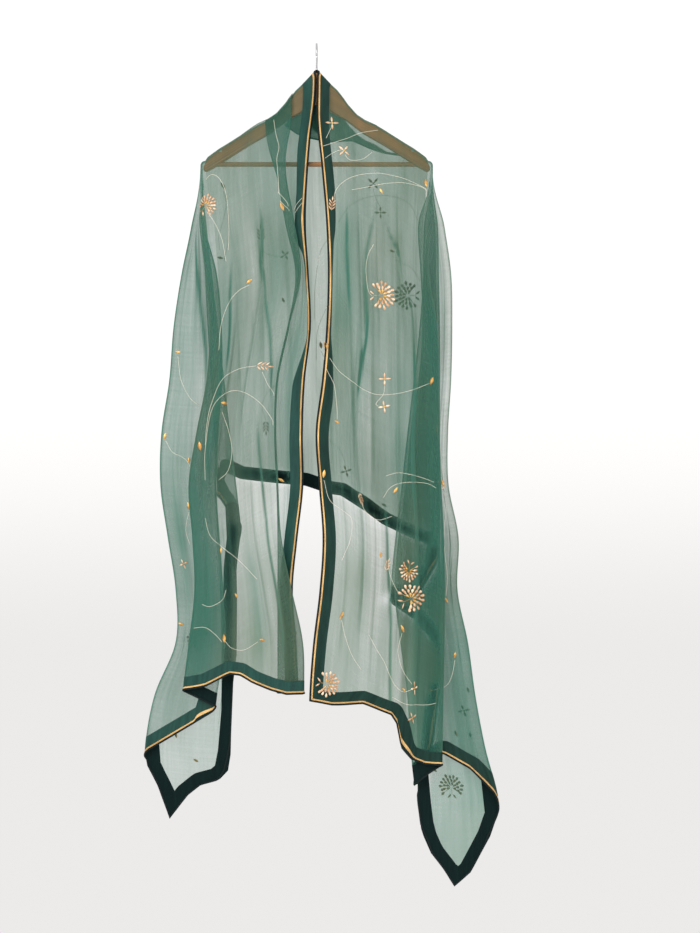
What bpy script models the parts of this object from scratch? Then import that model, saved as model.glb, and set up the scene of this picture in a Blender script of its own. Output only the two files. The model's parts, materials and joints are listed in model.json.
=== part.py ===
"""A sheer dupatta stole, hung over a wooden suit hanger, as it drapes from the hook.

The frame's origin is the inside of the hook's crown, where the rail carries it. +X is to the
viewer's right, -Y is the front and +Z is up. Lengths are in millimetres and are scaled to
metres as each shape is made. Heights are measured down from the origin.
"""

import math

import bmesh
import bpy
import numpy as np

METRES = 0.001

# Driving sizes of the stole.
CLOTH_WALL = 1.0
BORDER_WIDTH = 25.0
GOLD_FROM_EDGE = 5.0
GOLD_WIDTH = 4.0
GOLD_WALL = 0.6
SEAM_GAP = 0.4

# Driving sizes of the hanger.
WOOD_THICKNESS = 14.0
WOOD_BEVEL = 3.0
WOOD_BELOW_CLOTH = 3.6
BAR_RADIUS = 4.5
BAR_HEIGHT = 228.0
BAR_REACH = 203.0
HOOK_FLAT = 4.0
NOTCH_WIDTH = 6.0
NOTCH_DEPTH = 5.0
HOOK_WIRE_RADIUS = 1.7
HOOK_INNER_RADIUS = 17.0
STRAP_NOTCH_AT = 184.0

# The cloth's crest along both arms: half width from the hook, and height below the origin.
CREST = (
    (0, 47), (10, 57), (25, 73), (40, 87), (51, 101), (60, 114), (77, 133), (92, 143),
    (112, 152), (130, 163), (149, 175), (168, 187), (186, 198), (200, 208), (208, 214), (220, 232),
)
# The underside of the wood, in the same terms.
WOOD_UNDERSIDE = (
    (0, 113), (28, 129), (53, 142), (90, 170), (130, 193), (168, 217), (196, 235), (212, 243),
)
# The rounded end of each arm.
WOOD_END = ((198, 211), (207, 219), (213, 227), (216, 233), (216, 239))
TIP_REACH = 213.0
TIP_HOLE_RADIUS = 2.0
ROLL_RADIUS = 9.0
EDGE_AT_HOOK = 5.0
# The neck borders are joined across at this height, where the cloth hangs clear of the arms.
BORDER_JOIN_HEIGHT = 190.0

# The folds open out over this length below the crest.
OPENING_LENGTH = 130.0
# Share of a layer's turn given to the fold on either side of it.
FOLD_SHARE = 0.12

# Heights that the fold tables are read at.
LEVELS = tuple(range(40, 1441, 100))

# Each row is an edge or a fold line, from the front's inner edge to the seam with the back:
# its place along the crest (None once it is past the arm's tip), and its x at each level.
LEFT_FOLDS = (
    ("inner_edge", -5,
     (-5, -5, -15, -17, -14, -9, -20, -24, -23, -34, -43, -36, -32, -32, -32)),
    ("pleat_back", -78,
     (-95, -86, -76, -60, -40, -55, -76, -80, -76, -74, -74, -74, -74, -74, -74)),
    ("pleat_front", -82,
     (-50, -50, -58, -42, -25, -40, -60, -66, -62, -55, -42, -25, -23, -23, -23)),
    ("tube", None,
     (-219, -219, -219, -222, -210, -202, -208, -227, -242, -235, -231, -242, -253, -253, -253)),
    ("tube_back", None,
     (-212, -212, -212, -213, -189, -180, -179, -186, -190, -184, -177, -173, -189, -198, -198)),
    ("outline", None,
     (-228, -228, -228, -238, -258, -273, -281, -296, -298, -284, -269, -269, -309, -327, -326)),
    ("tail_fold", None,
     (-213, -213, -213, -211, -200, -189, -177, -166, -154, -143, -131, -120, -108, -97, -85)),
    ("back_fold", None,
     (-222, -222, -222, -221, -215, -210, -204, -198, -192, -192, -192, -192, -192, -192, -192)),
    ("seam", None,
     (-213, -213, -205, -198, -190, -185, -182, -178, -175, -175, -175, -175, -175, -175, -175)),
)
RIGHT_FOLDS = (
    ("inner_edge", 5,
     (5, 5, 7, 18, 22, 17, 9, -3, 3, 10, 4, -8, -15, -15, -15)),
    ("tube", None,
     (219, 219, 219, 213, 213, 228, 232, 232, 232, 232, 232, 235, 237, 237, 237)),
    ("tube_back", None,
     (214, 214, 214, 193, 197, 201, 193, 178, 169, 155, 148, 159, 172, 178, 188)),
    ("outline", None,
     (228, 228, 228, 242, 256, 258, 256, 250, 251, 270, 268, 288, 302, 321, 346)),
    ("tail_inner", None,
     (216, 216, 216, 205, 203, 201, 197, 193, 190, 188, 188, 188, 190, 192, 193)),
    ("tail_outer", None,
     (222, 222, 222, 232, 234, 236, 236, 236, 236, 236, 236, 236, 237, 237, 237)),
    ("back_inner", None,
     (214, 214, 214, 213, 205, 197, 186, 174, 163, 151, 142, 142, 142, 142, 142)),
    ("back_fold", None,
     (221, 221, 221, 228, 230, 232, 233, 234, 234, 235, 235, 235, 235, 235, 235)),
    ("seam", None,
     (213, 213, 206, 205, 206, 206, 206, 206, 206, 207, 207, 207, 207, 207, 207)),
)
# Depth of each layer between two neighbouring rows, once the folds are open.
LEFT_DEPTHS = (-18, -26, -34, -24, -12, 0, 12, 24)
RIGHT_DEPTHS = (-44, -33, -21, -9, 3, 15, 26, 37)

# Where the cloth ends: place along the rows above, and height. The corner is the lowest point.
LEFT_HEM = (
    (0.0, 1235), (2.0, 1235), (2.22, 1236), (2.33, 1227), (2.45, 1214), (2.53, 1201), (2.60, 1198),
    (2.67, 1208), (2.75, 1220), (2.85, 1226), (3.0, 1230), (4.0, 1262), (5.0, 1358), (5.1, 1368),
    (5.17, 1410), (5.25, 1478), (5.36, 1434), (5.45, 1413), (5.57, 1404), (5.645, 1383),
    (5.67, 1343), (5.685, 1243), (5.71, 1200), (5.74, 1110), (5.77, 1062), (5.8, 1010),
    (5.88, 950), (6.0, 921), (7.0, 860), (8.0, 816),
)
RIGHT_HEM = (
    (0.0, 1247), (0.15, 1254), (0.36, 1253), (0.55, 1272), (0.59, 1290), (0.62, 1334), (0.69, 1356),
    (0.78, 1367), (1.0, 1369), (1.5, 1388), (2.0, 1410), (2.44, 1350), (2.7, 1380), (3.0, 1460),
    (3.12, 1482), (3.17, 1509), (3.37, 1577), (3.54, 1604), (3.64, 1574), (3.78, 1541),
    (3.86, 1507), (3.93, 1465), (4.0, 1438), (4.4, 1385), (4.7, 1345), (4.85, 1270), (5.0, 1222),
    (5.12, 1150), (5.5, 1100), (6.0, 1062), (6.6, 1048), (6.86, 1000), (7.0, 965), (8.0, 953),
)
# The back's hem: x and height.
BACK_HEM = (
    (-175, 816), (-147, 829), (-78, 837), (-22, 842), (25, 858), (46, 861), (90, 889), (127, 917),
    (182, 943), (207, 953),
)

# The lowest height of the opening behind the hook.
NECK_LOWEST = 137.0

# Soft waves: place of the crest, its half width (both in rows), how far it stands forward high
# up and low down.
LEFT_WAVES = (
    (2.30, 0.10, 3, 6),
    (2.52, 0.09, -3, -5),
    (2.74, 0.10, 2, 8),
    (5.45, 0.16, 1, 4),
)
RIGHT_WAVES = (
    (0.20, 0.09, 3, 7),
    (0.37, 0.08, -3, -6),
    (0.52, 0.07, 2, 5),
    (0.66, 0.045, 4, 12),
    (0.78, 0.05, -1, -4),
    (3.50, 0.16, 1, 4),
)
# The same on the back: x along the crest, half width, forward high up and low down.
BACK_WAVES = (
    (-150, 26, 3, 7),
    (-92, 24, -4, -7),
    (-40, 22, 2, 6),
    (28, 24, -3, -6),
    (80, 22, 3, 7),
    (132, 24, -4, -7),
    (178, 18, 2, 4),
)
WAVE_HIGH = 300.0
WAVE_LOW = 1000.0

# Height at which the seam between the end and outer borders is measured.
CORNER_SEAM_HEIGHT = 1300.0

# How finely the sheets are divided.
ROLL_ANGLES = (0, 30, 60, 90)
DROP_ROWS = 11
BORDER_STEPS = (0.0, GOLD_FROM_EDGE / BORDER_WIDTH, (GOLD_FROM_EDGE + GOLD_WIDTH) / BORDER_WIDTH, 1.0)
LEFT_STEPS = (4, 1, 10, 1, 3, 6, 1, 1)
RIGHT_STEPS = (12, 2, 4, 6, 1, 2, 1, 1)
NECK_STEPS = (0.0, 0.03, 0.07, 0.14, 0.3, 0.55, 0.8, 1.0)


def column(table, index):
    return np.array([row[index] for row in table], float)


def smooth(value):
    value = np.clip(value, 0.0, 1.0)
    return value * value * (3.0 - 2.0 * value)


def crest_height(x):
    """Height of the cloth's crest, on the arms, at x."""
    return np.interp(np.abs(x), column(CREST, 0), column(CREST, 1))


def wave_offset(waves, place, height):
    """How far the soft waves stand forward at a place and height."""
    low = np.clip((height - WAVE_HIGH) / (WAVE_LOW - WAVE_HIGH), 0.0, 1.0)
    total = np.zeros(np.broadcast(place, height).shape)
    for crest, half_width, forward_high, forward_low in waves:
        bump = np.exp(-(((place - crest) / half_width) ** 2))
        total = total + bump * (forward_high + (forward_low - forward_high) * low)
    return total


def roll(depth, hole):
    """Distance from the arm's centre line of cloth that rolls over it, at a depth below the crest."""
    cosine = np.clip(1.0 - depth / ROLL_RADIUS, 0.0, 1.0)
    return hole + (ROLL_RADIUS - hole) * np.sqrt(1.0 - cosine * cosine)


class Stretch:
    """One front stretch: folds that hang from an arm and fan out from its tip."""

    def __init__(self, side, folds, depths, hem, waves, steps):
        self.side = side
        self.depths = np.array(depths, float)
        self.hem = hem
        self.waves = waves
        self.steps = steps
        self.count = len(depths)
        self.lines = np.array([row[2] for row in folds], float)
        self.corner = max(hem, key=lambda point: point[1])[0]
        on_arm = [row[1] for row in folds if row[1] is not None]
        self.tip_place = len(on_arm) - 0.1
        self.arm_places = list(range(len(on_arm))) + [self.tip_place]
        self.arm_x = on_arm + [side * TIP_REACH]

    def top_x(self, place):
        return np.interp(place, self.arm_places, self.arm_x)

    def top_height(self, place):
        return crest_height(self.top_x(place))

    def hem_height(self, place):
        return np.interp(place, column(self.hem, 0), column(self.hem, 1))

    def line_x(self, index, height):
        """x of one table row at a height, on a smooth curve through its levels."""
        position = np.clip((height - LEVELS[0]) / (LEVELS[1] - LEVELS[0]), 0, len(LEVELS) - 1.001)
        start = position.astype(int)
        along = position - start
        last = len(LEVELS) - 1
        before = self.lines[index, np.maximum(start - 1, 0)]
        here = self.lines[index, start]
        after = self.lines[index, start + 1]
        beyond = self.lines[index, np.minimum(start + 2, last)]
        slope_in = 0.5 * (after - before)
        slope_out = 0.5 * (beyond - here)
        bend = 2 * along**3 - 3 * along**2
        return (
            (1 + bend) * here
            - bend * after
            + (along**3 - 2 * along**2 + along) * slope_in
            + (along**3 - along**2) * slope_out
        )

    def folded(self, place, height):
        """x and y of the open folds at a place and height: flat layers joined by half circles."""
        layer = np.clip(np.floor(place), 0, self.count - 1).astype(int)
        within = place - layer
        start_x = self.line_x(layer, height)
        end_x = self.line_x(layer + 1, height)
        heading = np.sign(end_x - start_x)
        depth = self.depths[layer]
        depth_before = self.depths[np.maximum(layer - 1, 0)]
        depth_after = self.depths[np.minimum(layer + 1, self.count - 1)]
        bend_start = 0.5 * (depth - depth_before)
        bend_end = 0.5 * (depth_after - depth)
        flat_start = start_x + heading * np.abs(bend_start)
        flat_end = end_x - heading * np.abs(bend_end)
        share_start = np.where(layer == 0, 0.0, FOLD_SHARE)
        share_end = np.where(layer == self.count - 1, 0.0, FOLD_SHARE)
        along = np.clip((within - share_start) / (1 - share_start - share_end), 0.0, 1.0)
        x = flat_start + along * (flat_end - flat_start)
        y = depth + 0.0 * x
        turn = np.where(within < share_start, (share_start - within) / FOLD_SHARE, 0.0)
        turn = turn * math.pi / 2
        x = x - heading * np.abs(bend_start) * np.sin(turn)
        y = y - bend_start * (1 - np.cos(turn))
        turn = np.where(within > 1 - share_end, (within - 1 + share_end) / FOLD_SHARE, 0.0)
        turn = turn * math.pi / 2
        x = x + heading * np.abs(bend_end) * np.sin(turn)
        y = y + bend_end * (1 - np.cos(turn))
        return x, y

    def point(self, place, height):
        """Points of the cloth's middle, in millimetres, at places along the rows and heights."""
        place, height = np.broadcast_arrays(np.asarray(place, float), np.asarray(height, float))
        depth = np.maximum(height - self.top_height(place), 0.0)
        past_tip = np.clip((place - self.tip_place) / (self.count - self.tip_place), 0.0, 1.0)
        angle = math.pi * past_tip
        near_tip = smooth((place - self.tip_place + 0.15) / 0.15)
        hole = 0.5 * SEAM_GAP + (TIP_HOLE_RADIUS - 0.5 * SEAM_GAP) * near_tip
        reach = roll(depth, hole)
        smooth_x = self.top_x(place) + self.side * reach * np.sin(angle)
        smooth_y = -reach * np.cos(angle)
        open_x, open_y = self.folded(place, height)
        share = smooth(depth / OPENING_LENGTH)
        x = smooth_x + share * (open_x - smooth_x)
        y = smooth_y + share * (open_y - smooth_y - wave_offset(self.waves, place, height))
        return np.stack([x, y, -height], axis=-1)

    def columns(self, first):
        """Places of the grid's columns. `first` is where the first column is, on each row."""
        first = np.asarray(first, float)
        places = []
        for layer, count in enumerate(self.steps):
            start = layer + (FOLD_SHARE if layer else 0.0)
            end = layer + 1 - (FOLD_SHARE if layer < self.count - 1 else 0.0)
            inner = first if layer == 0 else start + 0.0 * first
            for step in range(count):
                places.append(inner + (end - inner) * step / count)
            places.append(end + 0.0 * first)
            if layer < self.count - 1:
                for turn in (-0.5, 0.0, 0.5):
                    places.append(layer + 1 + turn * FOLD_SHARE + 0.0 * first)
        places = np.stack(places, axis=-1)
        places[..., self.corner_column(places)] = self.corner
        return places

    def corner_column(self, places):
        """Index of the column that ends at the cloth's outer corner."""
        return int(np.argmin(np.abs(places.reshape(-1, places.shape[-1])[-1] - self.corner)))

    def border_end(self, places, width):
        """Heights at which the ground ends, above the border along the hem."""
        return inset_heights(self.point, self.hem_height, places, 0.6, (0, self.count), width)

    def neck_inset(self, width):
        """Place, on each row, of the line that is `width` in from the inner edge."""
        edge_heights = column_heights(self.top_height(0.0), self.hem_height(0.0))
        edge = self.point(0.0, edge_heights)
        place = np.full(len(edge_heights), 0.2)
        for _ in range(8):
            heights = self.row_heights(place, self.hem_height(place))
            gap = np.abs(self.point(place, heights)[:, 0] - edge[:, 0])
            place = np.clip(place * width / gap, 0.02, 1.0 - FOLD_SHARE - 0.02)
        return place

    def row_heights(self, places, ends):
        """Height of each row where its column's place changes from row to row."""
        rows = column_heights(self.top_height(places), ends)
        index = np.arange(len(rows))
        return rows[index, index]


def column_heights(top, end):
    """Heights of a column's rows: close together where it rolls over the arm, then down to its end."""
    rolled = [ROLL_RADIUS * (1 - math.cos(math.radians(angle))) for angle in ROLL_ANGLES]
    shares = (np.arange(1, DROP_ROWS + 1) / DROP_ROWS) ** 1.15
    top = np.asarray(top, float)
    end = np.asarray(end, float)
    rows = [top + depth for depth in rolled]
    rows += [top + ROLL_RADIUS + share * (end - top - ROLL_RADIUS) for share in shares]
    return np.stack(rows, axis=0)


def inset_height(point_at, hem_height, place, reach, span, width):
    """Height at which cloth at this place is `width` from the hem, measured in space."""
    nearby = np.linspace(max(place - reach, span[0]), min(place + reach, span[1]), 241)
    edge = point_at(nearby, hem_height(nearby))
    end = float(hem_height(place))
    heights = end - np.arange(0.0, 520.0, 1.0)
    points = point_at(np.full(heights.shape, place), heights)
    gaps = np.linalg.norm(points[:, None] - edge[None], axis=2).min(axis=1)
    inside = np.nonzero(gaps >= width)[0]
    step = max(int(inside[0]), 1) if len(inside) else len(heights) - 1
    share = (width - gaps[step - 1]) / max(gaps[step] - gaps[step - 1], 1e-6)
    return heights[step - 1] - min(max(share, 0.0), 1.0)


def inset_heights(point_at, hem_height, places, reach, span, width):
    flat = [
        inset_height(point_at, hem_height, float(place), reach, span, width)
        for place in np.ravel(places)
    ]
    return np.array(flat).reshape(np.shape(places))


def new_material(name, colour, roughness, metallic=0.0, alpha=1.0):
    material = bpy.data.materials.new(name)
    material.use_nodes = True
    shader = material.node_tree.nodes["Principled BSDF"]
    shader.inputs["Base Color"].default_value = (*colour, 1.0)
    shader.inputs["Roughness"].default_value = roughness
    shader.inputs["Metallic"].default_value = metallic
    shader.inputs["Alpha"].default_value = alpha
    return material


def place_in(collection, obj, material):
    for other in list(obj.users_collection):
        other.objects.unlink(obj)
    collection.objects.link(obj)
    obj.data.materials.clear()
    obj.data.materials.append(material)


def sheet(name, points, thickness, collection, material):
    """A grid of cloth, set to these points and given a wall."""
    rows, columns = points.shape[:2]
    grid = bmesh.new()
    bmesh.ops.create_grid(grid, x_segments=columns - 1, y_segments=rows - 1, size=0.5)
    for vertex in grid.verts:
        across = round((vertex.co.x + 0.5) * (columns - 1))
        down = round((vertex.co.y + 0.5) * (rows - 1))
        vertex.co = points[down, across] * METRES
    mesh = bpy.data.meshes.new(name)
    grid.to_mesh(mesh)
    grid.free()
    mesh.shade_smooth()
    mesh.set_sharp_from_angle(angle=math.radians(50))
    obj = bpy.data.objects.new(name, mesh)
    place_in(collection, obj, material)
    wall = obj.modifiers.new("wall", "SOLIDIFY")
    wall.thickness = thickness * METRES
    wall.offset = 0.0
    return obj


def moved_out(points, right_side):
    """Points moved off the cloth's right side, to carry the gold tape."""
    down = np.gradient(points, axis=0)
    across = np.gradient(points, axis=1)
    normal = np.cross(across, down)
    normal /= np.linalg.norm(normal, axis=2, keepdims=True)
    lift = 0.5 * CLOTH_WALL + SEAM_GAP + 0.5 * GOLD_WALL
    return points + right_side * lift * normal


def gold_tape(name, points, right_side, collection, material):
    """The tape on a border, made from the border's own second and third lines."""
    return sheet(name, moved_out(points, right_side), GOLD_WALL, collection, material)


def front_pieces(stretch, suffix, collection, looks):
    """The ground, borders and gold tapes of one front stretch."""
    inset = stretch.neck_inset(BORDER_WIDTH)
    first = stretch.neck_inset(BORDER_WIDTH + SEAM_GAP)
    right_side = -stretch.side

    places = stretch.columns(first)
    ends = stretch.border_end(places[-1], BORDER_WIDTH + SEAM_GAP)
    heights = np.stack(
        [stretch.row_heights(places[:, c], ends[c]) for c in range(places.shape[1])], axis=1
    )
    ground = stretch.point(places, heights)
    sheet(f"stole_{suffix}", ground, CLOTH_WALL, collection, looks["organza"])

    mitre = SEAM_GAP * math.sqrt(2)
    steps = []
    for share in BORDER_STEPS:
        place = share * inset
        hem = stretch.hem_height(place[-1])
        inner = stretch.border_end(place[-1:], BORDER_WIDTH)[0]
        end = hem + share * (inner - hem) - mitre
        steps.append(stretch.point(place, stretch.row_heights(place, end)))
    neck = np.stack(steps, axis=1)
    join = int(np.argmin(np.abs(neck[:, 0, 2] + BORDER_JOIN_HEIGHT)))
    top, long = neck[: join + 1], neck[join:].copy()
    long[0, :, 2] -= SEAM_GAP
    sheet(f"neck_border_top_{suffix}", top, CLOTH_WALL, collection, looks["satin"])
    sheet(f"neck_border_{suffix}", long, CLOTH_WALL, collection, looks["satin"])
    tape = moved_out(neck, right_side)[:, 1:3]
    sheet(f"neck_gold_{suffix}", tape, GOLD_WALL, collection, looks["gold"])

    shares = np.array(BORDER_STEPS[::-1])
    places = stretch.columns(shares * inset[-1])
    corner = stretch.corner_column(places)
    end_places, outer_places = places[:, : corner + 1].copy(), places[:, corner:].copy()
    beside = stretch.point(np.array([0.0, 0.05]) + stretch.corner, CORNER_SEAM_HEIGHT)
    half_seam = 0.5 * SEAM_GAP * 0.05 / abs(beside[1, 0] - beside[0, 0])
    end_places[:, -1] -= half_seam
    outer_places[:, 0] += half_seam
    for name, part in (("end", end_places), ("outer", outer_places)):
        hem = stretch.hem_height(part)
        inner = stretch.border_end(part, BORDER_WIDTH)
        border = stretch.point(part, hem + shares[:, None] * (inner - hem))
        sheet(f"{name}_border_{suffix}", border, CLOTH_WALL, collection, looks["satin"])
        tape = moved_out(border, right_side)[1:3]
        sheet(f"{name}_gold_{suffix}", tape, GOLD_WALL, collection, looks["gold"])


class Back:
    """The cloth across the back, between the two front stretches."""

    def __init__(self, left, right):
        self.left = left
        self.right = right

    def across(self, x):
        return (x + TIP_REACH) / (2 * TIP_REACH)

    def hem_height(self, x):
        left, right = BACK_HEM[0][0], BACK_HEM[-1][0]
        at_hem = left + self.across(x) * (right - left)
        return np.interp(at_hem, column(BACK_HEM, 0), column(BACK_HEM, 1))

    def point(self, x, height):
        """Points of the cloth's middle, at x along the crest and a height."""
        x, height = np.broadcast_arrays(np.asarray(x, float), np.asarray(height, float))
        depth = np.maximum(height - crest_height(x), 0.0)
        near_tip = smooth((np.abs(x) - TIP_REACH + 13.0) / 13.0)
        hole = 0.5 * SEAM_GAP + (TIP_HOLE_RADIUS - 0.5 * SEAM_GAP) * near_tip
        smooth_y = roll(depth, hole)
        across = self.across(x)
        left_x = self.left.line_x(self.left.count, height) + SEAM_GAP
        right_x = self.right.line_x(self.right.count, height) - SEAM_GAP
        open_x = left_x + across * (right_x - left_x)
        left_y, right_y = self.left.depths[-1], self.right.depths[-1]
        open_y = left_y + across * (right_y - left_y) - wave_offset(BACK_WAVES, x, height)
        share = smooth(depth / OPENING_LENGTH)
        closed_x = x * (TIP_REACH - SEAM_GAP) / TIP_REACH
        new_x = closed_x + share * (open_x - closed_x)
        return np.stack([new_x, smooth_y + share * (open_y - smooth_y), -height], axis=-1)


def neck_height(half_width, lowest, drop):
    """Height of a line round the opening behind the hook, at a share of its drop."""
    top = crest_height(half_width)
    return top + drop * (lowest - top)


def back_pieces(back, collection, looks):
    """The ground, borders and gold tapes of the back."""
    inner = EDGE_AT_HOOK + BORDER_WIDTH + SEAM_GAP
    drops = np.array(NECK_STEPS)
    near = inner * np.sqrt(1.0 - drops)
    beyond = np.array([TIP_REACH] + [x for x, _ in CREST[::-1] if inner < x < TIP_REACH])
    half = np.concatenate([beyond, near])
    tops = np.concatenate(
        [crest_height(beyond), neck_height(inner, NECK_LOWEST + BORDER_WIDTH + SEAM_GAP, drops)]
    )
    x = np.concatenate([-half, half[-2::-1]])
    tops = np.concatenate([tops, tops[-2::-1]])
    span = (-TIP_REACH, TIP_REACH)
    ends = inset_heights(back.point, back.hem_height, x, 50.0, span, BORDER_WIDTH + SEAM_GAP)
    heights = column_heights(tops, ends)
    ground = back.point(np.broadcast_to(x, heights.shape), heights)
    sheet("stole_back", ground, CLOTH_WALL, collection, looks["organza"])

    sides = np.sqrt(1.0 - drops)
    sides = np.concatenate([-sides, sides[-2::-1]])
    drops = np.concatenate([drops, drops[-2::-1]])
    rows = []
    for share in BORDER_STEPS:
        half_width = EDGE_AT_HOOK + share * BORDER_WIDTH
        lowest = NECK_LOWEST + share * BORDER_WIDTH
        rows.append(back.point(half_width * sides, neck_height(half_width, lowest, drops)))
    neck = np.stack(rows, axis=0)
    sheet("neck_border_back", neck, CLOTH_WALL, collection, looks["satin"])
    tape = moved_out(neck, 1)[1:3]
    sheet("neck_gold_back", tape, GOLD_WALL, collection, looks["gold"])

    shares = np.array(BORDER_STEPS[::-1])[:, None]
    hem = back.hem_height(x)
    inner_line = inset_heights(back.point, back.hem_height, x, 50.0, span, BORDER_WIDTH)
    border = back.point(np.broadcast_to(x, (len(shares), len(x))), hem + shares * (inner_line - hem))
    sheet("outer_border_back", border, CLOTH_WALL, collection, looks["satin"])
    tape = moved_out(border, 1)[1:3]
    sheet("outer_gold_back", tape, GOLD_WALL, collection, looks["gold"])


def outline_solid(name, outline, thickness, collection, material):
    """A flat outline in x and z, centred on y = 0, as a welded mesh."""
    curve = bpy.data.curves.new(name + "_outline", "CURVE")
    curve.dimensions = "2D"
    curve.fill_mode = "BOTH"
    curve.extrude = 0.5 * thickness * METRES
    spline = curve.splines.new("POLY")
    spline.points.add(len(outline) - 1)
    for point, (x, z) in zip(spline.points, outline):
        point.co = (x * METRES, z * METRES, 0.0, 1.0)
    spline.use_cyclic_u = True
    drawn = bpy.data.objects.new(name + "_outline", curve)
    bpy.context.scene.collection.objects.link(drawn)
    drawn.rotation_euler.x = math.pi / 2
    bpy.context.view_layer.update()
    graph = bpy.context.evaluated_depsgraph_get()
    mesh = bpy.data.meshes.new_from_object(drawn.evaluated_get(graph))
    welded = bmesh.new()
    welded.from_mesh(mesh)
    bmesh.ops.remove_doubles(welded, verts=welded.verts, dist=1e-6)
    bmesh.ops.recalc_face_normals(welded, faces=welded.faces)
    welded.to_mesh(mesh)
    welded.free()
    obj = bpy.data.objects.new(name, mesh)
    obj.matrix_world = drawn.matrix_world
    place_in(collection, obj, material)
    bpy.data.objects.remove(drawn)
    bpy.data.curves.remove(curve)
    return obj


def cut(obj, cutter, cutters):
    for other in list(cutter.users_collection):
        other.objects.unlink(cutter)
    cutters.objects.link(cutter)
    cutter.hide_render = True
    cutter.display_type = "WIRE"
    boolean = obj.modifiers.new(cutter.name, "BOOLEAN")
    boolean.operation = "DIFFERENCE"
    boolean.object = cutter


def rod_along_x(name, radius, reach):
    bpy.ops.mesh.primitive_cylinder_add(
        vertices=24, radius=radius * METRES, depth=2 * reach * METRES,
        location=(0, 0, -BAR_HEIGHT * METRES), rotation=(0, math.pi / 2, 0),
    )
    rod = bpy.context.object
    rod.name = rod.data.name = name
    rod.data.shade_smooth()
    rod.data.set_sharp_from_angle(angle=math.radians(40))
    return rod


def hanger_shoulder(collection, cutters, material):
    """Both arms in one piece of wood, with a strap notch in each and a bore for the bar."""
    top = [(HOOK_FLAT, float(crest_height(HOOK_FLAT)))]
    top += [(x, height) for x, height in CREST if HOOK_FLAT < x < WOOD_END[0][0]]
    right = [(x, -height - WOOD_BELOW_CLOTH) for x, height in top]
    right += [(x, -height) for x, height in WOOD_END + WOOD_UNDERSIDE[::-1]]
    left = [(-x, z) for x, z in right[::-1] if x > 0]
    shoulder = outline_solid("hanger_shoulder", right + left, WOOD_THICKNESS, collection, material)
    bevel = shoulder.modifiers.new("rounded_edges", "BEVEL")
    bevel.width = WOOD_BEVEL * METRES
    bevel.segments = 2
    bevel.limit_method = "ANGLE"
    bevel.angle_limit = math.radians(60)
    cut(shoulder, rod_along_x("bar_bore", BAR_RADIUS + SEAM_GAP, BAR_REACH + SEAM_GAP), cutters)
    for side in (-1, 1):
        bpy.ops.mesh.primitive_cube_add(size=1.0)
        notch = bpy.context.object
        notch.name = "strap_notch_left" if side < 0 else "strap_notch_right"
        notch.scale = (NOTCH_WIDTH * METRES, 2 * WOOD_THICKNESS * METRES, 2 * NOTCH_DEPTH * METRES)
        height = float(crest_height(STRAP_NOTCH_AT)) + WOOD_BELOW_CLOTH
        notch.location = (side * STRAP_NOTCH_AT * METRES, 0, -height * METRES)
        cut(shoulder, notch, cutters)


def hanger_bar(collection, material):
    place_in(collection, rod_along_x("hanger_bar", BAR_RADIUS, BAR_REACH), material)


def hanger_hook(collection, material):
    """A wire that rises from the wood, swings to the back and over the rail to the front."""
    radius = HOOK_INNER_RADIUS + HOOK_WIRE_RADIUS
    stem_end = float(crest_height(HOOK_FLAT)) + WOOD_BELOW_CLOTH - SEAM_GAP
    route = [(0.0, -stem_end), (0.0, -47.0), (1.5, -41.5), (6.8, -36.0)]
    for turned in range(138, -119, -16):
        angle = math.radians(turned)
        route.append((radius * math.sin(angle), radius * math.cos(angle) - HOOK_INNER_RADIUS))
    curve = bpy.data.curves.new("hanger_hook", "CURVE")
    curve.dimensions = "3D"
    curve.bevel_depth = HOOK_WIRE_RADIUS * METRES
    curve.bevel_resolution = 2
    curve.use_fill_caps = True
    spline = curve.splines.new("POLY")
    spline.points.add(len(route) - 1)
    for point, (y, z) in zip(spline.points, route):
        point.co = (0.0, y * METRES, z * METRES, 1.0)
    hook = bpy.data.objects.new("hanger_hook", curve)
    place_in(collection, hook, material)


def main():
    for obj in list(bpy.data.objects):
        bpy.data.objects.remove(obj)
    parts = bpy.data.collections.new("dupatta_stole")
    cutters = bpy.data.collections.new("cutters")
    cutters.hide_render = True
    bpy.context.scene.collection.children.link(parts)
    bpy.context.scene.collection.children.link(cutters)
    looks = {
        "organza": new_material("green_organza", (0.16, 0.33, 0.25), 0.55, alpha=0.55),
        "satin": new_material("dark_green_satin", (0.010, 0.055, 0.045), 0.38),
        "gold": new_material("gold_tape", (0.66, 0.36, 0.11), 0.4, metallic=0.6),
        "wood": new_material("waxed_wood", (0.26, 0.17, 0.08), 0.5),
        "steel": new_material("hook_steel", (0.45, 0.45, 0.46), 0.3, metallic=1.0),
    }
    hanger_shoulder(parts, cutters, looks["wood"])
    hanger_bar(parts, looks["wood"])
    hanger_hook(parts, looks["steel"])
    left = Stretch(-1, LEFT_FOLDS, LEFT_DEPTHS, LEFT_HEM, LEFT_WAVES, LEFT_STEPS)
    right = Stretch(1, RIGHT_FOLDS, RIGHT_DEPTHS, RIGHT_HEM, RIGHT_WAVES, RIGHT_STEPS)
    front_pieces(left, "left", parts, looks)
    front_pieces(right, "right", parts, looks)
    back_pieces(Back(left, right), parts, looks)


main()
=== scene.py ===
import json
import math

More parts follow.
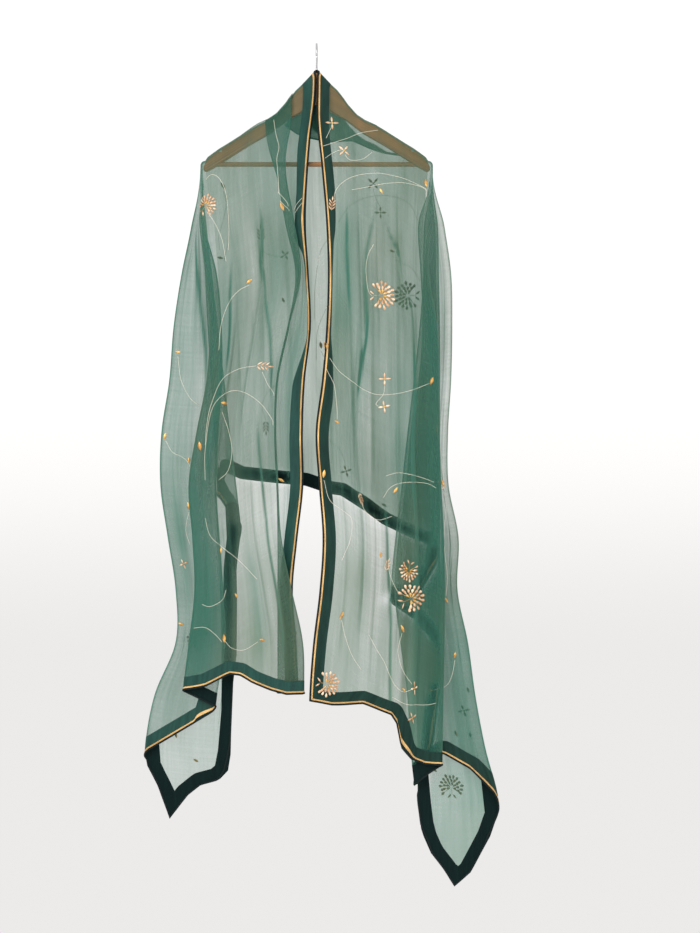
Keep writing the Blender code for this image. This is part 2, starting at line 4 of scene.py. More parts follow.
import bpy
import numpy as np
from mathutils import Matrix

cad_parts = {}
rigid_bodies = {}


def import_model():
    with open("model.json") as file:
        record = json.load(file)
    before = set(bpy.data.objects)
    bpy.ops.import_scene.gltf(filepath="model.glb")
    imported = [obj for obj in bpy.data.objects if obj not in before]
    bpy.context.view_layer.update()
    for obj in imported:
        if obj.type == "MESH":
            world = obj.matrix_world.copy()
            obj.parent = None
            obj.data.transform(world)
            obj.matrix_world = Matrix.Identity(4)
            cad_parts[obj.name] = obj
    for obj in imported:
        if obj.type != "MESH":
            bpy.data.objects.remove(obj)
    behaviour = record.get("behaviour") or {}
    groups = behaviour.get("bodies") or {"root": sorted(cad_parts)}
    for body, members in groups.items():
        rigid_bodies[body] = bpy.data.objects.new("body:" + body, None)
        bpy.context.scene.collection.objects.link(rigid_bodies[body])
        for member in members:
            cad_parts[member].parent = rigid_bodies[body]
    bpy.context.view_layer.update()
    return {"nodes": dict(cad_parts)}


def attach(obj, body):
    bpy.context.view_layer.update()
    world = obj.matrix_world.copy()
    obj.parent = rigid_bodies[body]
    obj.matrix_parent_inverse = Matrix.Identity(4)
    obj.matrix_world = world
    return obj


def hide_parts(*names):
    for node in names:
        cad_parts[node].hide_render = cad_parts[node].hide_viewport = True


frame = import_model()
print("frame loaded")

# x runs to the viewer's right, -y is the front, z is up, and the hook's crown is at the origin

studio = {
    "cameraAcross": 0.0636, "cameraHeight": -0.805, "cameraBack": 3.0, "lens": 60.6,
    "floorHeight": -1.95, "floorRadius": 0.82, "floorDeep": (0.84, 0.825, 0.815),
    "floorPale": (0.88, 0.865, 0.855), "skyColour": (1.0, 0.985, 0.975),
    "skyRise": (("From Min", -0.12), ("From Max", 0.05), ("To Min", 0.84), ("To Max", 1.04)),
    "keyPlace": (-1.9, -3.2, 0.7), "keySize": 2.2, "keyPower": 70.0,
    "fillPlace": (2.6, -2.4, -0.6), "fillSize": 2.6, "fillPower": 32.0,
}


def deselectAll():
    for obj in bpy.context.view_layer.objects:
        obj.select_set(False)


def aimedLamp(name, place, target, size, power):
    deselectAll()
    bpy.ops.object.light_add(type="AREA", location=place)
    lamp = bpy.context.object
    lamp.name = name
    away = [place[k] - target[k] for k in range(3)]
    flat = math.hypot(away[0], away[1])
    lamp.rotation_euler = (math.atan2(flat, away[2]), 0.0, math.atan2(away[0], -away[1]))
    lamp.data.shape = "DISK"
    lamp.data.size = size
    lamp.data.energy = power
    return lamp


def setStudio():
    deselectAll()
    bpy.ops.object.camera_add(
        location=(studio["cameraAcross"], -studio["cameraBack"], studio["cameraHeight"]),
        rotation=(math.pi / 2, 0.0, 0.0),
    )
    camera = bpy.context.object
    camera.name = "camera"
    camera.data.lens = studio["lens"]
    camera.data.sensor_width = 36.0
    camera.data.clip_end = 60.0
    bpy.context.scene.camera = camera
    middle = (0.0, 0.0, studio["cameraHeight"])
    aimedLamp("keyLamp", studio["keyPlace"], middle, studio["keySize"], studio["keyPower"])
    aimedLamp("fillLamp", studio["fillPlace"], middle, studio["fillSize"], studio["fillPower"])
    world = bpy.data.worlds.new("studioSky")
    world.use_nodes = True
    nodes, links = world.node_tree.nodes, world.node_tree.links
    direction = nodes.new("ShaderNodeTexCoord")
    parts = nodes.new("ShaderNodeSeparateXYZ")
    rise = nodes.new("ShaderNodeMapRange")  # brighter above, as from a tall soft light
    rise.interpolation_type = "SMOOTHSTEP"
    for socket, value in studio["skyRise"]:
        rise.inputs[socket].default_value = value
    links.new(direction.outputs["Generated"], parts.inputs["Vector"])
    links.new(parts.outputs["Z"], rise.inputs["Value"])
    links.new(rise.outputs["Result"], nodes["Background"].inputs["Strength"])
    nodes["Background"].inputs["Color"].default_value = (*studio["skyColour"], 1.0)
    bpy.context.scene.world = world
    bpy.context.scene.view_settings.view_transform = "Standard"


class Signal:  # a node's output that can be used in Python sums
    def __init__(self, look, socket):
        self.look = look
        self.socket = socket

    def joined(self, operation, first, second):
        return self.look.node("ShaderNodeMath", {"operation": operation}, {0: first, 1: second})

    def __add__(self, other):
        return self.joined("ADD", self, other)

    def __sub__(self, other):
        return self.joined("SUBTRACT", self, other)

    def __mul__(self, other):
        return self.joined("MULTIPLY", self, other)

    def __abs__(self):
        return self.joined("ABSOLUTE", self, 0.0)


class Look:  # a material and the few ways in which its nodes are made
    def __init__(self, name, roughness=0.5, metallic=0.0, fixed=None):
        self.material = bpy.data.materials.new(name)
        self.material.use_nodes = True
        self.tree = self.material.node_tree
        self.shader = self.tree.nodes["Principled BSDF"]
        self.shader.inputs["Roughness"].default_value = roughness
        self.shader.inputs["Metallic"].default_value = metallic
        for socket, value in (fixed or {}).items():
            self.shader.inputs[socket].default_value = value

    def node(self, kind, settings=None, inputs=None, output=0):
        made = self.tree.nodes.new(kind)
        for name, value in (settings or {}).items():
            setattr(made, name, value)
        for name, value in (inputs or {}).items():
            self.feed(made.inputs[name], value)
        return Signal(self, made.outputs[output])

    def feed(self, socket, value):
        if isinstance(value, Signal):
            self.tree.links.new(value.socket, socket)
        else:
            socket.default_value = value

    def give(self, socket, value):
        self.feed(self.shader.inputs[socket], value)

    def place(self, source, scale=(1.0, 1.0, 1.0), turn=(0.0, 0.0, 0.0)):
        found = self.node("ShaderNodeTexCoord", output={"uv": 2, "object": 3}[source])
        return self.node("ShaderNodeMapping", inputs={"Vector": found, "Scale": scale, "Rotation": turn})

    def noise(self, vector, scale=1.0, detail=2.0, roughness=0.5):
        inputs = {"Vector": vector, "Scale": scale, "Detail": detail, "Roughness": roughness}
        return self.node("ShaderNodeTexNoise", None, inputs)

    def wave(self, vector, scale, distortion, direction="X"):
        inputs = {"Vector": vector, "Scale": scale, "Distortion": distortion}
        return self.node("ShaderNodeTexWave", {"bands_direction": direction}, inputs, 1)

    def attribute(self, name):
        return self.node("ShaderNodeAttribute", {"attribute_name": name}, None, 2)

    def blend(self, factor, first, second):
        first, second = ((*end, 1.0) if isinstance(end, tuple) else end for end in (first, second))
        return self.node("ShaderNodeMix", {"data_type": "RGBA"}, {0: factor, 6: first, 7: second}, 2)

    def finish(self, colour, roughness, height, strength, distance):
        self.give("Base Color", colour)
        self.give("Roughness", roughness)
        inputs = {"Height": height, "Strength": strength, "Distance": distance}
        self.give("Normal", self.node("ShaderNodeBump", None, inputs))
        return self.material


organzaLook = {
    "tealShade": (0.020, 0.134, 0.096), "grey": (0.094, 0.126, 0.076), "through": (0.31, 0.53, 0.42),
    "throughShare": 0.35, "cover": -0.305, "closeCover": 0.40, "greyer": -0.15,
}


def makeOrganza():  # open weave over clear gaps; the threads both reflect light and let some through
    look = Look("greenOrganza", 0.46, 0.0, {
        "Sheen Weight": 0.1, "Sheen Roughness": 0.4, "Specular IOR Level": 0.2,
    })
    warp = look.noise(look.place("uv", (210.0, 5.0, 1.0)), 1.0, 3.0, 0.6)
    weft = look.noise(look.place("uv", (6.0, 240.0, 1.0)), 1.0, 3.0, 0.6)
    # large soft patches in cover and tone: painted shadow, with tone that varies at random
    cloudAndShadow = look.noise(look.place("uv", (1.0, 0.45, 1.0)), 7.0, 3.0, 0.5)
    # long soft vertical streaks in cover and tone: painted shade of folds and creases, with some watered
    # moiré
    moireAndCreaseShade = look.noise(look.place("uv", (30.0, 2.2, 1.0)), 1.0, 3.0, 0.55)
    threads, picks = (look.wave(look.place("uv"), 300.0, 0.4, direction) for direction in "XY")
    streaks = warp * 0.62 + weft * 0.38
    weave = streaks * 0.42 + cloudAndShadow * 0.68 + moireAndCreaseShade * 0.36 + threads * picks * 0.08
    cover = weave + look.attribute("closenessAndShade") * organzaLook["closeCover"] + organzaLook["cover"]
    # the deeper teal end of this tone is painted shade, laid on in folds, stacks, bands, creases and in
    # front of borders
    tone = cloudAndShadow * 1.5 + streaks * 0.3 + moireAndCreaseShade * 0.4 - look.attribute("tealShade") + organzaLook["greyer"]
    colour = look.blend(tone, organzaLook["tealShade"], organzaLook["grey"])
    look.finish(colour, streaks * 0.22 + 0.36, streaks + threads * picks * 0.3, 0.35, 0.0006)
    glow = look.node("ShaderNodeBsdfTranslucent")
    glow.socket.node.inputs["Color"].default_value = (*organzaLook["through"], 1.0)
    thread = look.node("ShaderNodeMixShader", None, {
        0: organzaLook["throughShare"], 1: Signal(look, look.shader.outputs[0]), 2: glow,
    })
    cloth = look.node("ShaderNodeMixShader", None, {
        0: cover, 1: look.node("ShaderNodeBsdfTransparent"), 2: thread,
    })
    look.feed(look.tree.nodes["Material Output"].inputs["Surface"], cloth)
    return look.material


satinLook = {
    "deep": (0.004, 0.026, 0.021), "sheenLine": (0.018, 0.082, 0.064),
    "wrongDeep": (0.002, 0.008, 0.0075), "wrongPale": (0.004, 0.016, 0.015),
    "shadeDeep": (0.003, 0.013, 0.010), "shadeLine": (0.013, 0.050, 0.038),
}


def makeSatin(name, deep, pale, roughness, gloss):
    look = Look(name, roughness, 0.0, {"Specular IOR Level": gloss})
    silk = look.noise(look.place("uv", (95.0, 13.0, 1.0)), 1.0, 3.0, 0.6)
    grain = look.noise(look.place("uv", (420.0, 420.0, 1.0)))
    twill = look.wave(look.place("uv", turn=(0.0, 0.0, 0.7)), 420.0, 0.6)
    colour = look.blend(silk * 1.5 - 0.25 + grain * 0.12, deep, pale)
    height = twill * 0.5 + grain * 0.5 + silk * 0.6
    return look.finish(colour, silk * 0.22 + (roughness - 0.1), height, 0.45, 0.0007)


goldLook = {"deep": (0.24, 0.105, 0.024), "bright": (1.0, 0.64, 0.25), "slant": 0.785, "dull": -0.68}


def makeGold():
    look = Look("goldBraid", 0.4, 0.4)
    rib, cross = (
        look.wave(look.place("uv", turn=(0.0, 0.0, slant)), 260.0, 0.3)
        for slant in (goldLook["slant"], -goldLook["slant"])
    )
    # small patches and broad glints brighten the braid along its length: painted highlights; the patches
    # also vary its roughness
    patchTone = look.noise(look.place("uv", (60.0, 60.0, 1.0)), 1.0, 3.0, 0.6)
    glint = look.noise(look.place("uv", (4.0, 11.0, 1.0)))
    plait = rib * cross
    shine = plait * 0.5 + patchTone * 0.7 + glint * 1.6 + goldLook["dull"]
    colour = look.blend(shine, goldLook["deep"], goldLook["bright"])
    return look.finish(colour, patchTone * 0.3 + 0.24, plait, 0.6, 0.0006)


pipingLook = {"deep": (0.0025, 0.006, 0.006), "pale": (0.009, 0.019, 0.019), "gloss": 0.12}


def makePiping():
    look = Look("blackPiping", 0.6, 0.0, {"Specular IOR Level": pipingLook["gloss"]})
    twist = look.wave(look.place("uv", turn=(0.0, 0.0, 0.6)), 190.0, 0.2)
    fuzz = look.noise(look.place("uv", (500.0, 500.0, 1.0)))
    colour = look.blend(fuzz * 0.6 + twist * 0.4, pipingLook["deep"], pipingLook["pale"])
    return look.finish(colour, fuzz * 0.25 + 0.42, twist + fuzz * 0.4, 0.5, 0.0006)


stitchLook = {
    "pearl": (0.92, 0.73, 0.52), "copper": (0.56, 0.30, 0.15), "gold": (0.90, 0.56, 0.17),
    "bronze": (0.50, 0.25, 0.06), "rim": (0.22, 0.095, 0.030), "under": (0.38, 0.20, 0.058),
}


def makeStitch(name, top, patchTone, metallic):
    look = Look(name, 0.34, metallic)
    silk = look.noise(look.place("object", (900.0, 900.0, 900.0)))
    patch = look.noise(look.place("object", (110.0, 110.0, 110.0)), 1.0, 1.0, 0.5)
    edge = look.attribute("side") + (silk - 0.5) * 0.14
    thread = look.blend(patch * 3.0 - 1.15, patchTone, top)
    shaded = look.blend((edge - 0.30) * 5.0, thread, stitchLook["rim"])
    colour = look.blend((edge - 0.55) * 6.0, shaded, stitchLook["under"])
    return look.finish(colour, silk * 0.3 + 0.2, silk, 0.4, 0.0005)


threadLook = {"deep": (0.58, 0.54, 0.40), "pale": (0.90, 0.87, 0.74)}


def makeThread():
    look = Look("creamThread", 0.5)
    ply = look.noise(look.place("object", (700.0, 700.0, 700.0)))
    colour = look.blend(ply, threadLook["deep"], threadLook["pale"])
    return look.finish(colour, ply * 0.3 + 0.35, ply, 0.4, 0.0004)


woodLook = {"dark": (0.17, 0.070, 0.018), "light": (0.42, 0.190, 0.055), "slope": 0.62}


def makeWood():
    look = Look("waxedWood", 0.45, 0.0, {"Coat Roughness": 0.3})
    parts = look.node("ShaderNodeSeparateXYZ", None, {"Vector": look.node("ShaderNodeTexCoord", output=3)})
    outX, outY, outZ = (Signal(look, parts.socket.node.outputs[k]) for k in range(3))
    acrossGrain = outZ + abs(outX) * woodLook["slope"]  # the grain runs down both arms
    grainPlace = look.node("ShaderNodeCombineXYZ", None, {
        "X": outX * 5.0, "Y": outY * 90.0, "Z": acrossGrain * 130.0,
    })
    grain = look.noise(grainPlace, 1.0, 4.0, 0.6)
    rings = look.wave(grainPlace, 0.55, 3.5, "Z")
    pores = look.noise(look.node("ShaderNodeCombineXYZ", None, {
        "X": outX * 40.0, "Y": outY * 900.0, "Z": acrossGrain * 900.0,
    }))
    figure = grain * 1.3 + rings * 0.45 + pores * 0.3 - 0.45
    look.give("Coat Weight", grain * 0.25)
    colour = look.blend(figure, woodLook["dark"], woodLook["light"])
    return look.finish(colour, pores * 0.25 + 0.32, pores + grain * 0.5, 0.25, 0.0006)


steelLook = {"dull": (0.36, 0.36, 0.37), "bright": (0.62, 0.62, 0.63)}


def makeSteel():
    look = Look("brightSteel", 0.25, 1.0)
    scratch = look.noise(look.place("object", (300.0, 300.0, 60.0)), 1.0, 3.0, 0.6)
    colour = look.blend(scratch, steelLook["dull"], steelLook["bright"])
    return look.finish(colour, scratch * 0.25 + 0.14, scratch, 0.15, 0.0003)


def makeFloor():
    look = Look("paleFloor", 0.8)
    mottle = look.noise(look.place("object", (3.0, 3.0, 3.0)), 1.0, 3.0, 0.5)
    look.give("Base Color", look.blend(mottle, studio["floorDeep"], studio["floorPale"]))
    return look.material


cloth = {  # millimetres; heights are measured down from the hook's crown
    "borderWidth": 25.0, "satinWall": 0.7, "goldWall": 0.35, "goldGap": 0.1, "pipingRadius": 1.9,
    "pipingIn": 0.068, "rollRadius": 9.0, "edgeAtHook": 2.3, "edgePinch": 1.7, "openingLength": 130.0,
    "foldShare": 0.12, "tipReach": 213.0, "tipHole": 0.5, "seam": 0.4, "neckLowest": 137.0,
    "tipSoft": 13.0, "edgeSoft": 12.0, "dropRows": 104,
    # where the waves begin and end, how much the creases are deepened, and where both fade
    "waveHigh": 300.0, "waveLow": 1000.0, "creaseGain": 1.45, "creaseFade": (110.0, 150.0),
    "creaseLate": 0.15, "lineFade": (60.0, 70.0), "bandFade": (120.0, 160.0),
    # how far along a hem its width is looked for, how far up, and in what steps
    "frontReach": 0.6, "backReach": 50.0, "insetDeep": 520.0, "insetStep": 2.0,
    # how much closer the threads look where cloth turns away and on sharp lines, and how much denser it is
    # made low down and on the back, as painted shade
    "turnGain": 1.6, "turnLeast": 0.3, "turnMost": 1.3, "lowFrom": 880.0, "lowOver": 160.0,
    "lowShadeCover": 0.52, "backShadeCover": 0.60, "pinch": 1.15, "pinchNarrow": 0.6,
    # how much more open they look in front of a border
    "clearPanel": 0.85, "clearStack": 1.4, "clearReach": 11.0, "clearBehind": 0.45,
    "clearWithin": 236.0, "clearSoft": 10.0,
    # how much more teal and less grey they look; the deeper teal is painted shade
    "panelTeal": 0.40, "foldTeal": 0.85, "lowTeal": -0.3, "besideTeal": 0.65, "pleatTeal": 0.4,
    "bandTeal": 1.7, "pinchTeal": 0.35, "clearTeal": 0.6, "backTeal": 0.05,
}
crest = (
    (0, 47), (10, 57), (25, 73), (40, 87), (51, 101), (60, 114), (77, 133), (92, 143),
    (112, 152), (130, 163), (149, 175), (168, 187), (186, 198), (200, 208), (208, 214), (220, 232),
)
levels = tuple(range(40, 1441, 100))

# each fold line: its place along the crest, if it reaches it, and its x at each level
leftStretch = {
    "side": -1, "lowTo": 3.0,
    "folds": (
        (-2.3, (-1, -8, -16, -20, -15, -11, -22, -26, -25, -36, -45, -38, -34, -34, -34)),
        (-98, (-95, -86, -76, -60, -40, -55, -76, -80, -76, -74, -74, -74, -74, -74, -74)),
        (-46, (-50, -50, -58, -42, -29, -51, -72, -76, -72, -66, -46, -25, -23, -23, -23)),
        (None, (-219, -219, -219, -222, -210, -202, -208, -227, -242, -235, -231, -242, -253, -253, -253)),
        (None, (-212, -212, -212, -213, -189, -180, -179, -186, -190, -184, -177, -173, -189, -198, -198)),
        (None, (-228, -228, -228, -238, -258, -273, -281, -296, -298, -284, -269, -269, -309, -327, -326)),
        (None, (-213, -213, -213, -211, -200, -189, -177, -166, -154, -143, -131, -120, -108, -97, -85)),
        (None, (-222, -222, -222, -221, -215, -210, -204, -198, -192, -192, -192, -192, -192, -192, -192)),
        (None, (-213, -213, -205, -198, -190, -185, -182, -178, -175, -175, -175, -175, -175, -175, -175)),
    ),
    "depths": (-18, -26, -34, -24, -12, 0, 12, 24),
    "lifts": (
        (0.0, 0.0), (0.6, 0.0), (0.95, 1.0), (1.05, 1.4), (1.95, 2.4), (2.05, 2.8), (2.4, 2.4), (2.55, 0.0),
    ),
    "hem": (
        (0.0, 1235), (2.0, 1235), (2.22, 1236), (2.33, 1227), (2.45, 1214), (2.53, 1201),
        (2.60, 1198), (2.67, 1208), (2.75, 1220), (2.85, 1226), (3.0, 1230), (4.0, 1262),
        (5.0, 1358), (5.1, 1368), (5.17, 1410), (5.25, 1478), (5.36, 1434), (5.45, 1413),
        (5.57, 1404), (5.645, 1383), (5.67, 1343), (5.685, 1243), (5.71, 1200), (5.74, 1110),
        (5.77, 1062), (5.8, 1010), (5.88, 950), (6.0, 921), (7.0, 860), (8.0, 816),
    ),
    # height, and how wide the neck border shows there before the rest turns under
    "neckWidths": (
        (0, 25), (180, 25), (258, 20), (330, 18.5), (391, 9), (414, 7.6), (570, 7.6), (605, 16), (640, 24),
        (700, 25),
    ),
    "waves": ((2.30, 0.10, 3, 6), (2.52, 0.09, -3, -5), (2.74, 0.10, 2, 8), (5.45, 0.16, 1, 4)),
    # place high and low, first and last height, half width, how far it stands forward
    "creases": (
        (0.34, 0.42, 190, 900, 0.10, 2.4), (0.66, 0.58, 480, 1240, 0.11, -2.2),
        (0.22, 0.20, 620, 1120, 0.07, 1.6), (0.82, 0.76, 210, 620, 0.08, 1.8),
        (1.5, 1.5, 300, 1150, 0.2, 1.4),
        (2.20, 2.17, 560, 1230, 0.026, 2.2), (2.41, 2.46, 300, 800, 0.022, 2.6),
        (2.63, 2.66, 470, 1160, 0.020, -2.4), (2.85, 2.82, 230, 690, 0.022, 2.6),
        (2.68, 2.60, 215, 470, 0.018, -1.8), (2.36, 2.33, 760, 1235, 0.018, -2.2),
        (2.57, 2.61, 860, 1235, 0.016, 2.4), (2.78, 2.80, 640, 1120, 0.018, -2.4),
        (2.92, 2.90, 330, 1000, 0.014, 1.8),
        (3.45, 3.50, 350, 1150, 0.12, 1.8), (3.7, 3.66, 620, 1240, 0.06, -1.6),
        (4.30, 4.36, 430, 1240, 0.06, -2.4), (4.52, 4.50, 300, 880, 0.045, 2.4),
        (4.71, 4.66, 520, 1280, 0.040, 2.8), (4.86, 4.84, 340, 760, 0.035, -2.2),
        (5.24, 5.22, 330, 1300, 0.05, 2.4), (5.42, 5.36, 560, 1420, 0.040, -3.0),
        (5.62, 5.55, 420, 1380, 0.045, 2.6), (5.80, 5.74, 300, 820, 0.05, -2.0),
        (6.5, 6.4, 400, 880, 0.15, 1.6), (7.5, 7.5, 360, 840, 0.2, 1.4),
    ),
    # sharp lines: half width, how far forward, and their place at each height
    "sharp": (
        (0.015, 3.8, (
            (300, 2.37), (341, 2.372), (425, 2.432), (491, 2.381), (547, 2.292), (623, 2.19), (700, 2.15),
        )),
        (0.013, -3.6, ((400, 2.66), (440, 2.685), (481, 2.70), (566, 2.693), (650, 2.686))),
        (0.014, 3.0, ((700, 2.30), (812, 2.25), (906, 2.22), (1057, 2.23), (1190, 2.25))),
        (0.05, 3.2, ((330, 4.66), (420, 4.56), (488, 4.47), (583, 4.35), (720, 4.30))),
    ),
    # where the threads look closer and take more painted teal shade: place, half width, first and last
    # height, how much
    "bands": (
        (2.74, 0.05, 420, 900, 0.40), (2.12, 0.06, 520, 900, 0.22), (0.5, 0.3, 480, 900, 0.25),
        (2.50, 0.07, 260, 620, -0.25), (2.60, 0.06, 560, 860, -0.22), (2.87, 0.05, 300, 1100, 0.25),
        (4.5, 0.4, 700, 1250, 0.30), (2.40, 0.05, 900, 1250, 0.25), (4.0, 0.8, 230, 900, 0.20),
        (2.86, 0.12, 780, 1290, 0.34), (3.5, 0.5, 700, 1250, 0.20), (1.5, 0.7, 60, 560, 0.45),
        (2.30, 0.05, 330, 620, 0.20), (4.70, 0.11, 820, 1120, 0.5),
    ),
    "panel": 2, "seenThrough": (5.66, 6.7),
    "steps": (18, 4, 116, 10, 24, 28, 6, 5),
}
rightStretch = {
    "side": 1, "lowTo": 4.0,
    "folds": (
        (2.3, (1, 0.5, 10, 18.5, 22, 19, 11, -1, 5, 12, 6, -6, -13, -13, -13)),
        (None, (219, 219, 219, 213, 213, 228, 232, 233, 236, 241, 243, 242, 240, 238, 237)),
        (None, (214, 214, 214, 193, 197, 201, 193, 178, 169, 155, 148, 159, 172, 178, 188)),
        (None, (228, 228, 228, 242, 256, 258, 256, 250, 251, 270, 268, 288, 302, 321, 346)),
        (None, (216, 216, 216, 205, 203, 201, 197, 193, 190, 188, 188, 188, 190, 192, 193)),
        (None, (222, 222, 222, 232, 234, 236, 236, 236, 236, 236, 236, 236, 237, 237, 237)),
        (None, (214, 214, 214, 213, 205, 197, 186, 174, 163, 151, 142, 142, 142, 142, 142)),
        (None, (221, 221, 221, 228, 230, 232, 233, 234, 234, 235, 235, 235, 235, 235, 235)),
        (None, (213, 213, 206, 205, 206, 206, 206, 206, 206, 207, 207, 207, 207, 207, 207)),
    ),
    "depths": (-44, -33, -21, -9, 3, 15, 26, 37),
    "lifts": ((0.0, 0.0), (8.0, 0.0)),
    "hem": (
        (0.0, 1247), (0.15, 1254), (0.36, 1253), (0.55, 1272), (0.59, 1290), (0.62, 1334),
        (0.69, 1356), (0.78, 1367), (1.0, 1369), (1.5, 1388), (2.0, 1410), (2.44, 1350),
        (2.7, 1380), (3.0, 1460), (3.12, 1482), (3.17, 1509), (3.37, 1577), (3.54, 1604),
        (3.64, 1574), (3.78, 1541), (3.86, 1507), (3.93, 1465), (4.0, 1438), (4.4, 1385),
        (4.7, 1345), (4.85, 1270), (5.0, 1222), (5.12, 1150), (5.5, 1100), (6.0, 1062),
        (6.6, 1048), (6.86, 1000), (7.0, 965), (8.0, 953),
    ),
    "neckWidths": (
        (0, 24), (270, 23), (330, 19), (352, 17), (379, 12.4), (437, 9), (500, 8.8), (560, 9.5), (620, 18),
        (680, 24), (760, 25),
    ),
    "waves": (
        (0.20, 0.09, 3, 7), (0.37, 0.08, -3, -6), (0.52, 0.07, 2, 5), (0.66, 0.045, 4, 12),
        (0.78, 0.05, -1, -4), (3.50, 0.16, 1, 4),
    ),
    "creases": (
        (0.10, 0.08, 330, 820, 0.018, 2.2), (0.29, 0.32, 260, 1180, 0.020, -2.8),
        (0.46, 0.44, 240, 640, 0.018, 2.6), (0.60, 0.57, 640, 1240, 0.016, 3.0),
        (0.72, 0.71, 430, 1330, 0.014, -3.0), (0.86, 0.84, 280, 1010, 0.018, 2.6),
        (0.94, 0.91, 620, 1350, 0.014, -2.2), (0.15, 0.18, 700, 1240, 0.020, -2.6),
        (0.40, 0.41, 820, 1250, 0.016, 2.6), (0.80, 0.77, 215, 520, 0.016, -2.0),
        (0.62, 0.66, 230, 560, 0.020, 2.2), (0.25, 0.23, 480, 900, 0.014, 2.0),
        (1.5, 1.45, 360, 1250, 0.2, 1.6), (1.75, 1.7, 600, 1350, 0.1, -1.6),
        (2.28, 2.34, 380, 1280, 0.06, 2.4), (2.50, 2.46, 520, 1340, 0.045, -2.6),
        (2.70, 2.66, 300, 980, 0.045, 2.6), (2.86, 2.84, 640, 1400, 0.035, -2.2),
        (3.22, 3.28, 420, 1460, 0.05, -2.6), (3.44, 3.40, 600, 1540, 0.040, 3.0),
        (3.66, 3.60, 380, 1500, 0.045, -2.6), (3.84, 3.78, 560, 1440, 0.04, 2.2),
        (4.5, 4.4, 400, 1300, 0.15, 1.6), (5.5, 5.4, 380, 1080, 0.15, -1.6),
        (6.5, 6.5, 360, 1020, 0.15, 1.6), (7.5, 7.5, 360, 900, 0.2, 1.4),
    ),
    "sharp": (
        (0.026, 3.6, ((310, 0.45), (351, 0.402), (399, 0.349), (473, 0.33), (600, 0.33))),
        (0.014, -3.6, ((325, 0.49), (354, 0.534), (409, 0.643), (470, 0.665))),
        (0.013, -3.6, ((500, 0.355), (544, 0.335), (600, 0.303), (655, 0.288), (700, 0.28))),
        (0.018, 3.0, ((560, 0.70), (680, 0.72), (812, 0.69), (940, 0.70))),
        (0.016, -3.0, ((300, 0.19), (400, 0.17), (470, 0.18), (540, 0.20))),
        (0.012, 2.6, ((860, 0.477), (984, 0.484), (1098, 0.522), (1250, 0.54), (1330, 0.553))),
    ),
    "bands": (
        (0.88, 0.13, 440, 1060, 0.34), (3.0, 0.3, 240, 1150, -0.36), (0.14, 0.14, 260, 640, 0.30),
        (0.62, 0.09, 560, 950, 0.30),
        (0.42, 0.07, 300, 520, -0.30), (0.40, 0.05, 560, 1200, -0.20), (3.3, 0.2, 1250, 1500, 0.35),
        (3.8, 0.15, 1150, 1400, 0.30), (0.30, 0.05, 480, 760, 0.22),
    ),
    "panel": 0, "seenThrough": (4.35, 7.0),
    "steps": (136, 8, 24, 30, 6, 10, 6, 5),
}
backSpan = {
    "hem": (
        (-175, 816), (-147, 829), (-78, 837), (-22, 842), (25, 858), (46, 861), (90, 889),
        (127, 917), (182, 943), (207, 953),
    ),
    "waves": (
        (-150, 26, 3, 7), (-92, 24, -4, -7), (-40, 22, 2, 6), (28, 24, -3, -6), (80, 22, 3, 7),
        (132, 24, -4, -7), (178, 18, 2, 4),
    ),
    "creases": (
        (-176, -170, 330, 800, 6, 2.4), (-118, -124, 260, 700, 7, -2.8), (-66, -60, 330, 850, 6, 3.0),
        (-14, -20, 210, 600, 7, -2.6), (8, 12, 420, 850, 6, 2.6), (52, 58, 250, 780, 6, -3.0),
        (104, 98, 330, 900, 7, 2.6), (152, 158, 300, 880, 6, -2.6), (-94, -90, 520, 840, 5, 2.4),
        (70, 66, 560, 880, 5, 2.2), (128, 122, 240, 560, 6, 2.4), (194, 190, 420, 900, 5, 2.0),
    ),
    "columns": 150,
    "seen": (-168.0, 207.0),  # where its hem shows through the fronts
    # x, and the height of the foot of the sagging fold
    "swag": (
        (-62, 152), (-40, 166), (-30, 170), (0, 176), (28, 180), (54, 180), (68, 181), (84, 188),
        (102, 196), (130, 205), (152, 209), (160, 210),
    ),
}


def column(table, index):
    return np.array([row[index] for row in table], float)


def smooth(value):
    value = np.clip(value, 0.0, 1.0)
    return value * value * (3.0 - 2.0 * value)


def bulge(place, middle, halfWidth):
    return np.exp(-(((place - middle) / halfWidth) ** 2))


def faded(height, start, end, fade, late=0.0):  # 1 between two heights, falling to 0 at both
    return smooth((height - start) / fade[0]) * smooth((end - height) / fade[1] + late)


def unit(vectors):
    return vectors / np.maximum(np.linalg.norm(vectors, axis=-1, keepdims=True), 1e-9)


def crestHeight(x):
    return np.interp(np.abs(x), column(crest, 0), column(crest, 1))


def forwardOffset(waves, creases, lines, place, height):
    low = np.clip((height - cloth["waveHigh"]) / (cloth["waveLow"] - cloth["waveHigh"]), 0.0, 1.0)
    total = np.zeros(np.broadcast(place, height).shape)
    for middle, halfWidth, high, lowDown in waves:
        total = total + bulge(place, middle, halfWidth) * (high + (lowDown - high) * low)
    for first, last, start, end, halfWidth, forward in creases:
        along = np.clip((height - start) / (end - start), 0.0, 1.0)
        middle = first + along * (last - first)
        fade = faded(height, start, end, cloth["creaseFade"], cloth["creaseLate"])
        gain = cloth["creaseGain"] * forward
        total = total + gain * fade * np.exp(-np.abs((place - middle) / halfWidth) ** 1.7)
    for line in lines:
        total = total + line[1] * alongLine(line, place, height)
    return total


def alongLine(line, place, height, narrow=1.0):  # 1 on a sharp line, falling to 0 at its sides and ends
    halfWidth, _, marks = line
    heights, places = column(marks, 0), column(marks, 1)
    fade = faded(height, heights[0], heights[-1], cloth["lineFade"])
    return fade * bulge(place, np.interp(height, heights, places), narrow * halfWidth)


def rollReach(depth, nearTip):  # how far the cloth stands from the crest's middle as it turns over it
    hole = 0.5 * cloth["seam"] + (cloth["tipHole"] - 0.5 * cloth["seam"]) * nearTip
    cosine = np.clip(1.0 - depth / cloth["rollRadius"], 0.0, 1.0)
    return hole + (cloth["rollRadius"] - hole) * np.sqrt(1.0 - cosine * cosine)


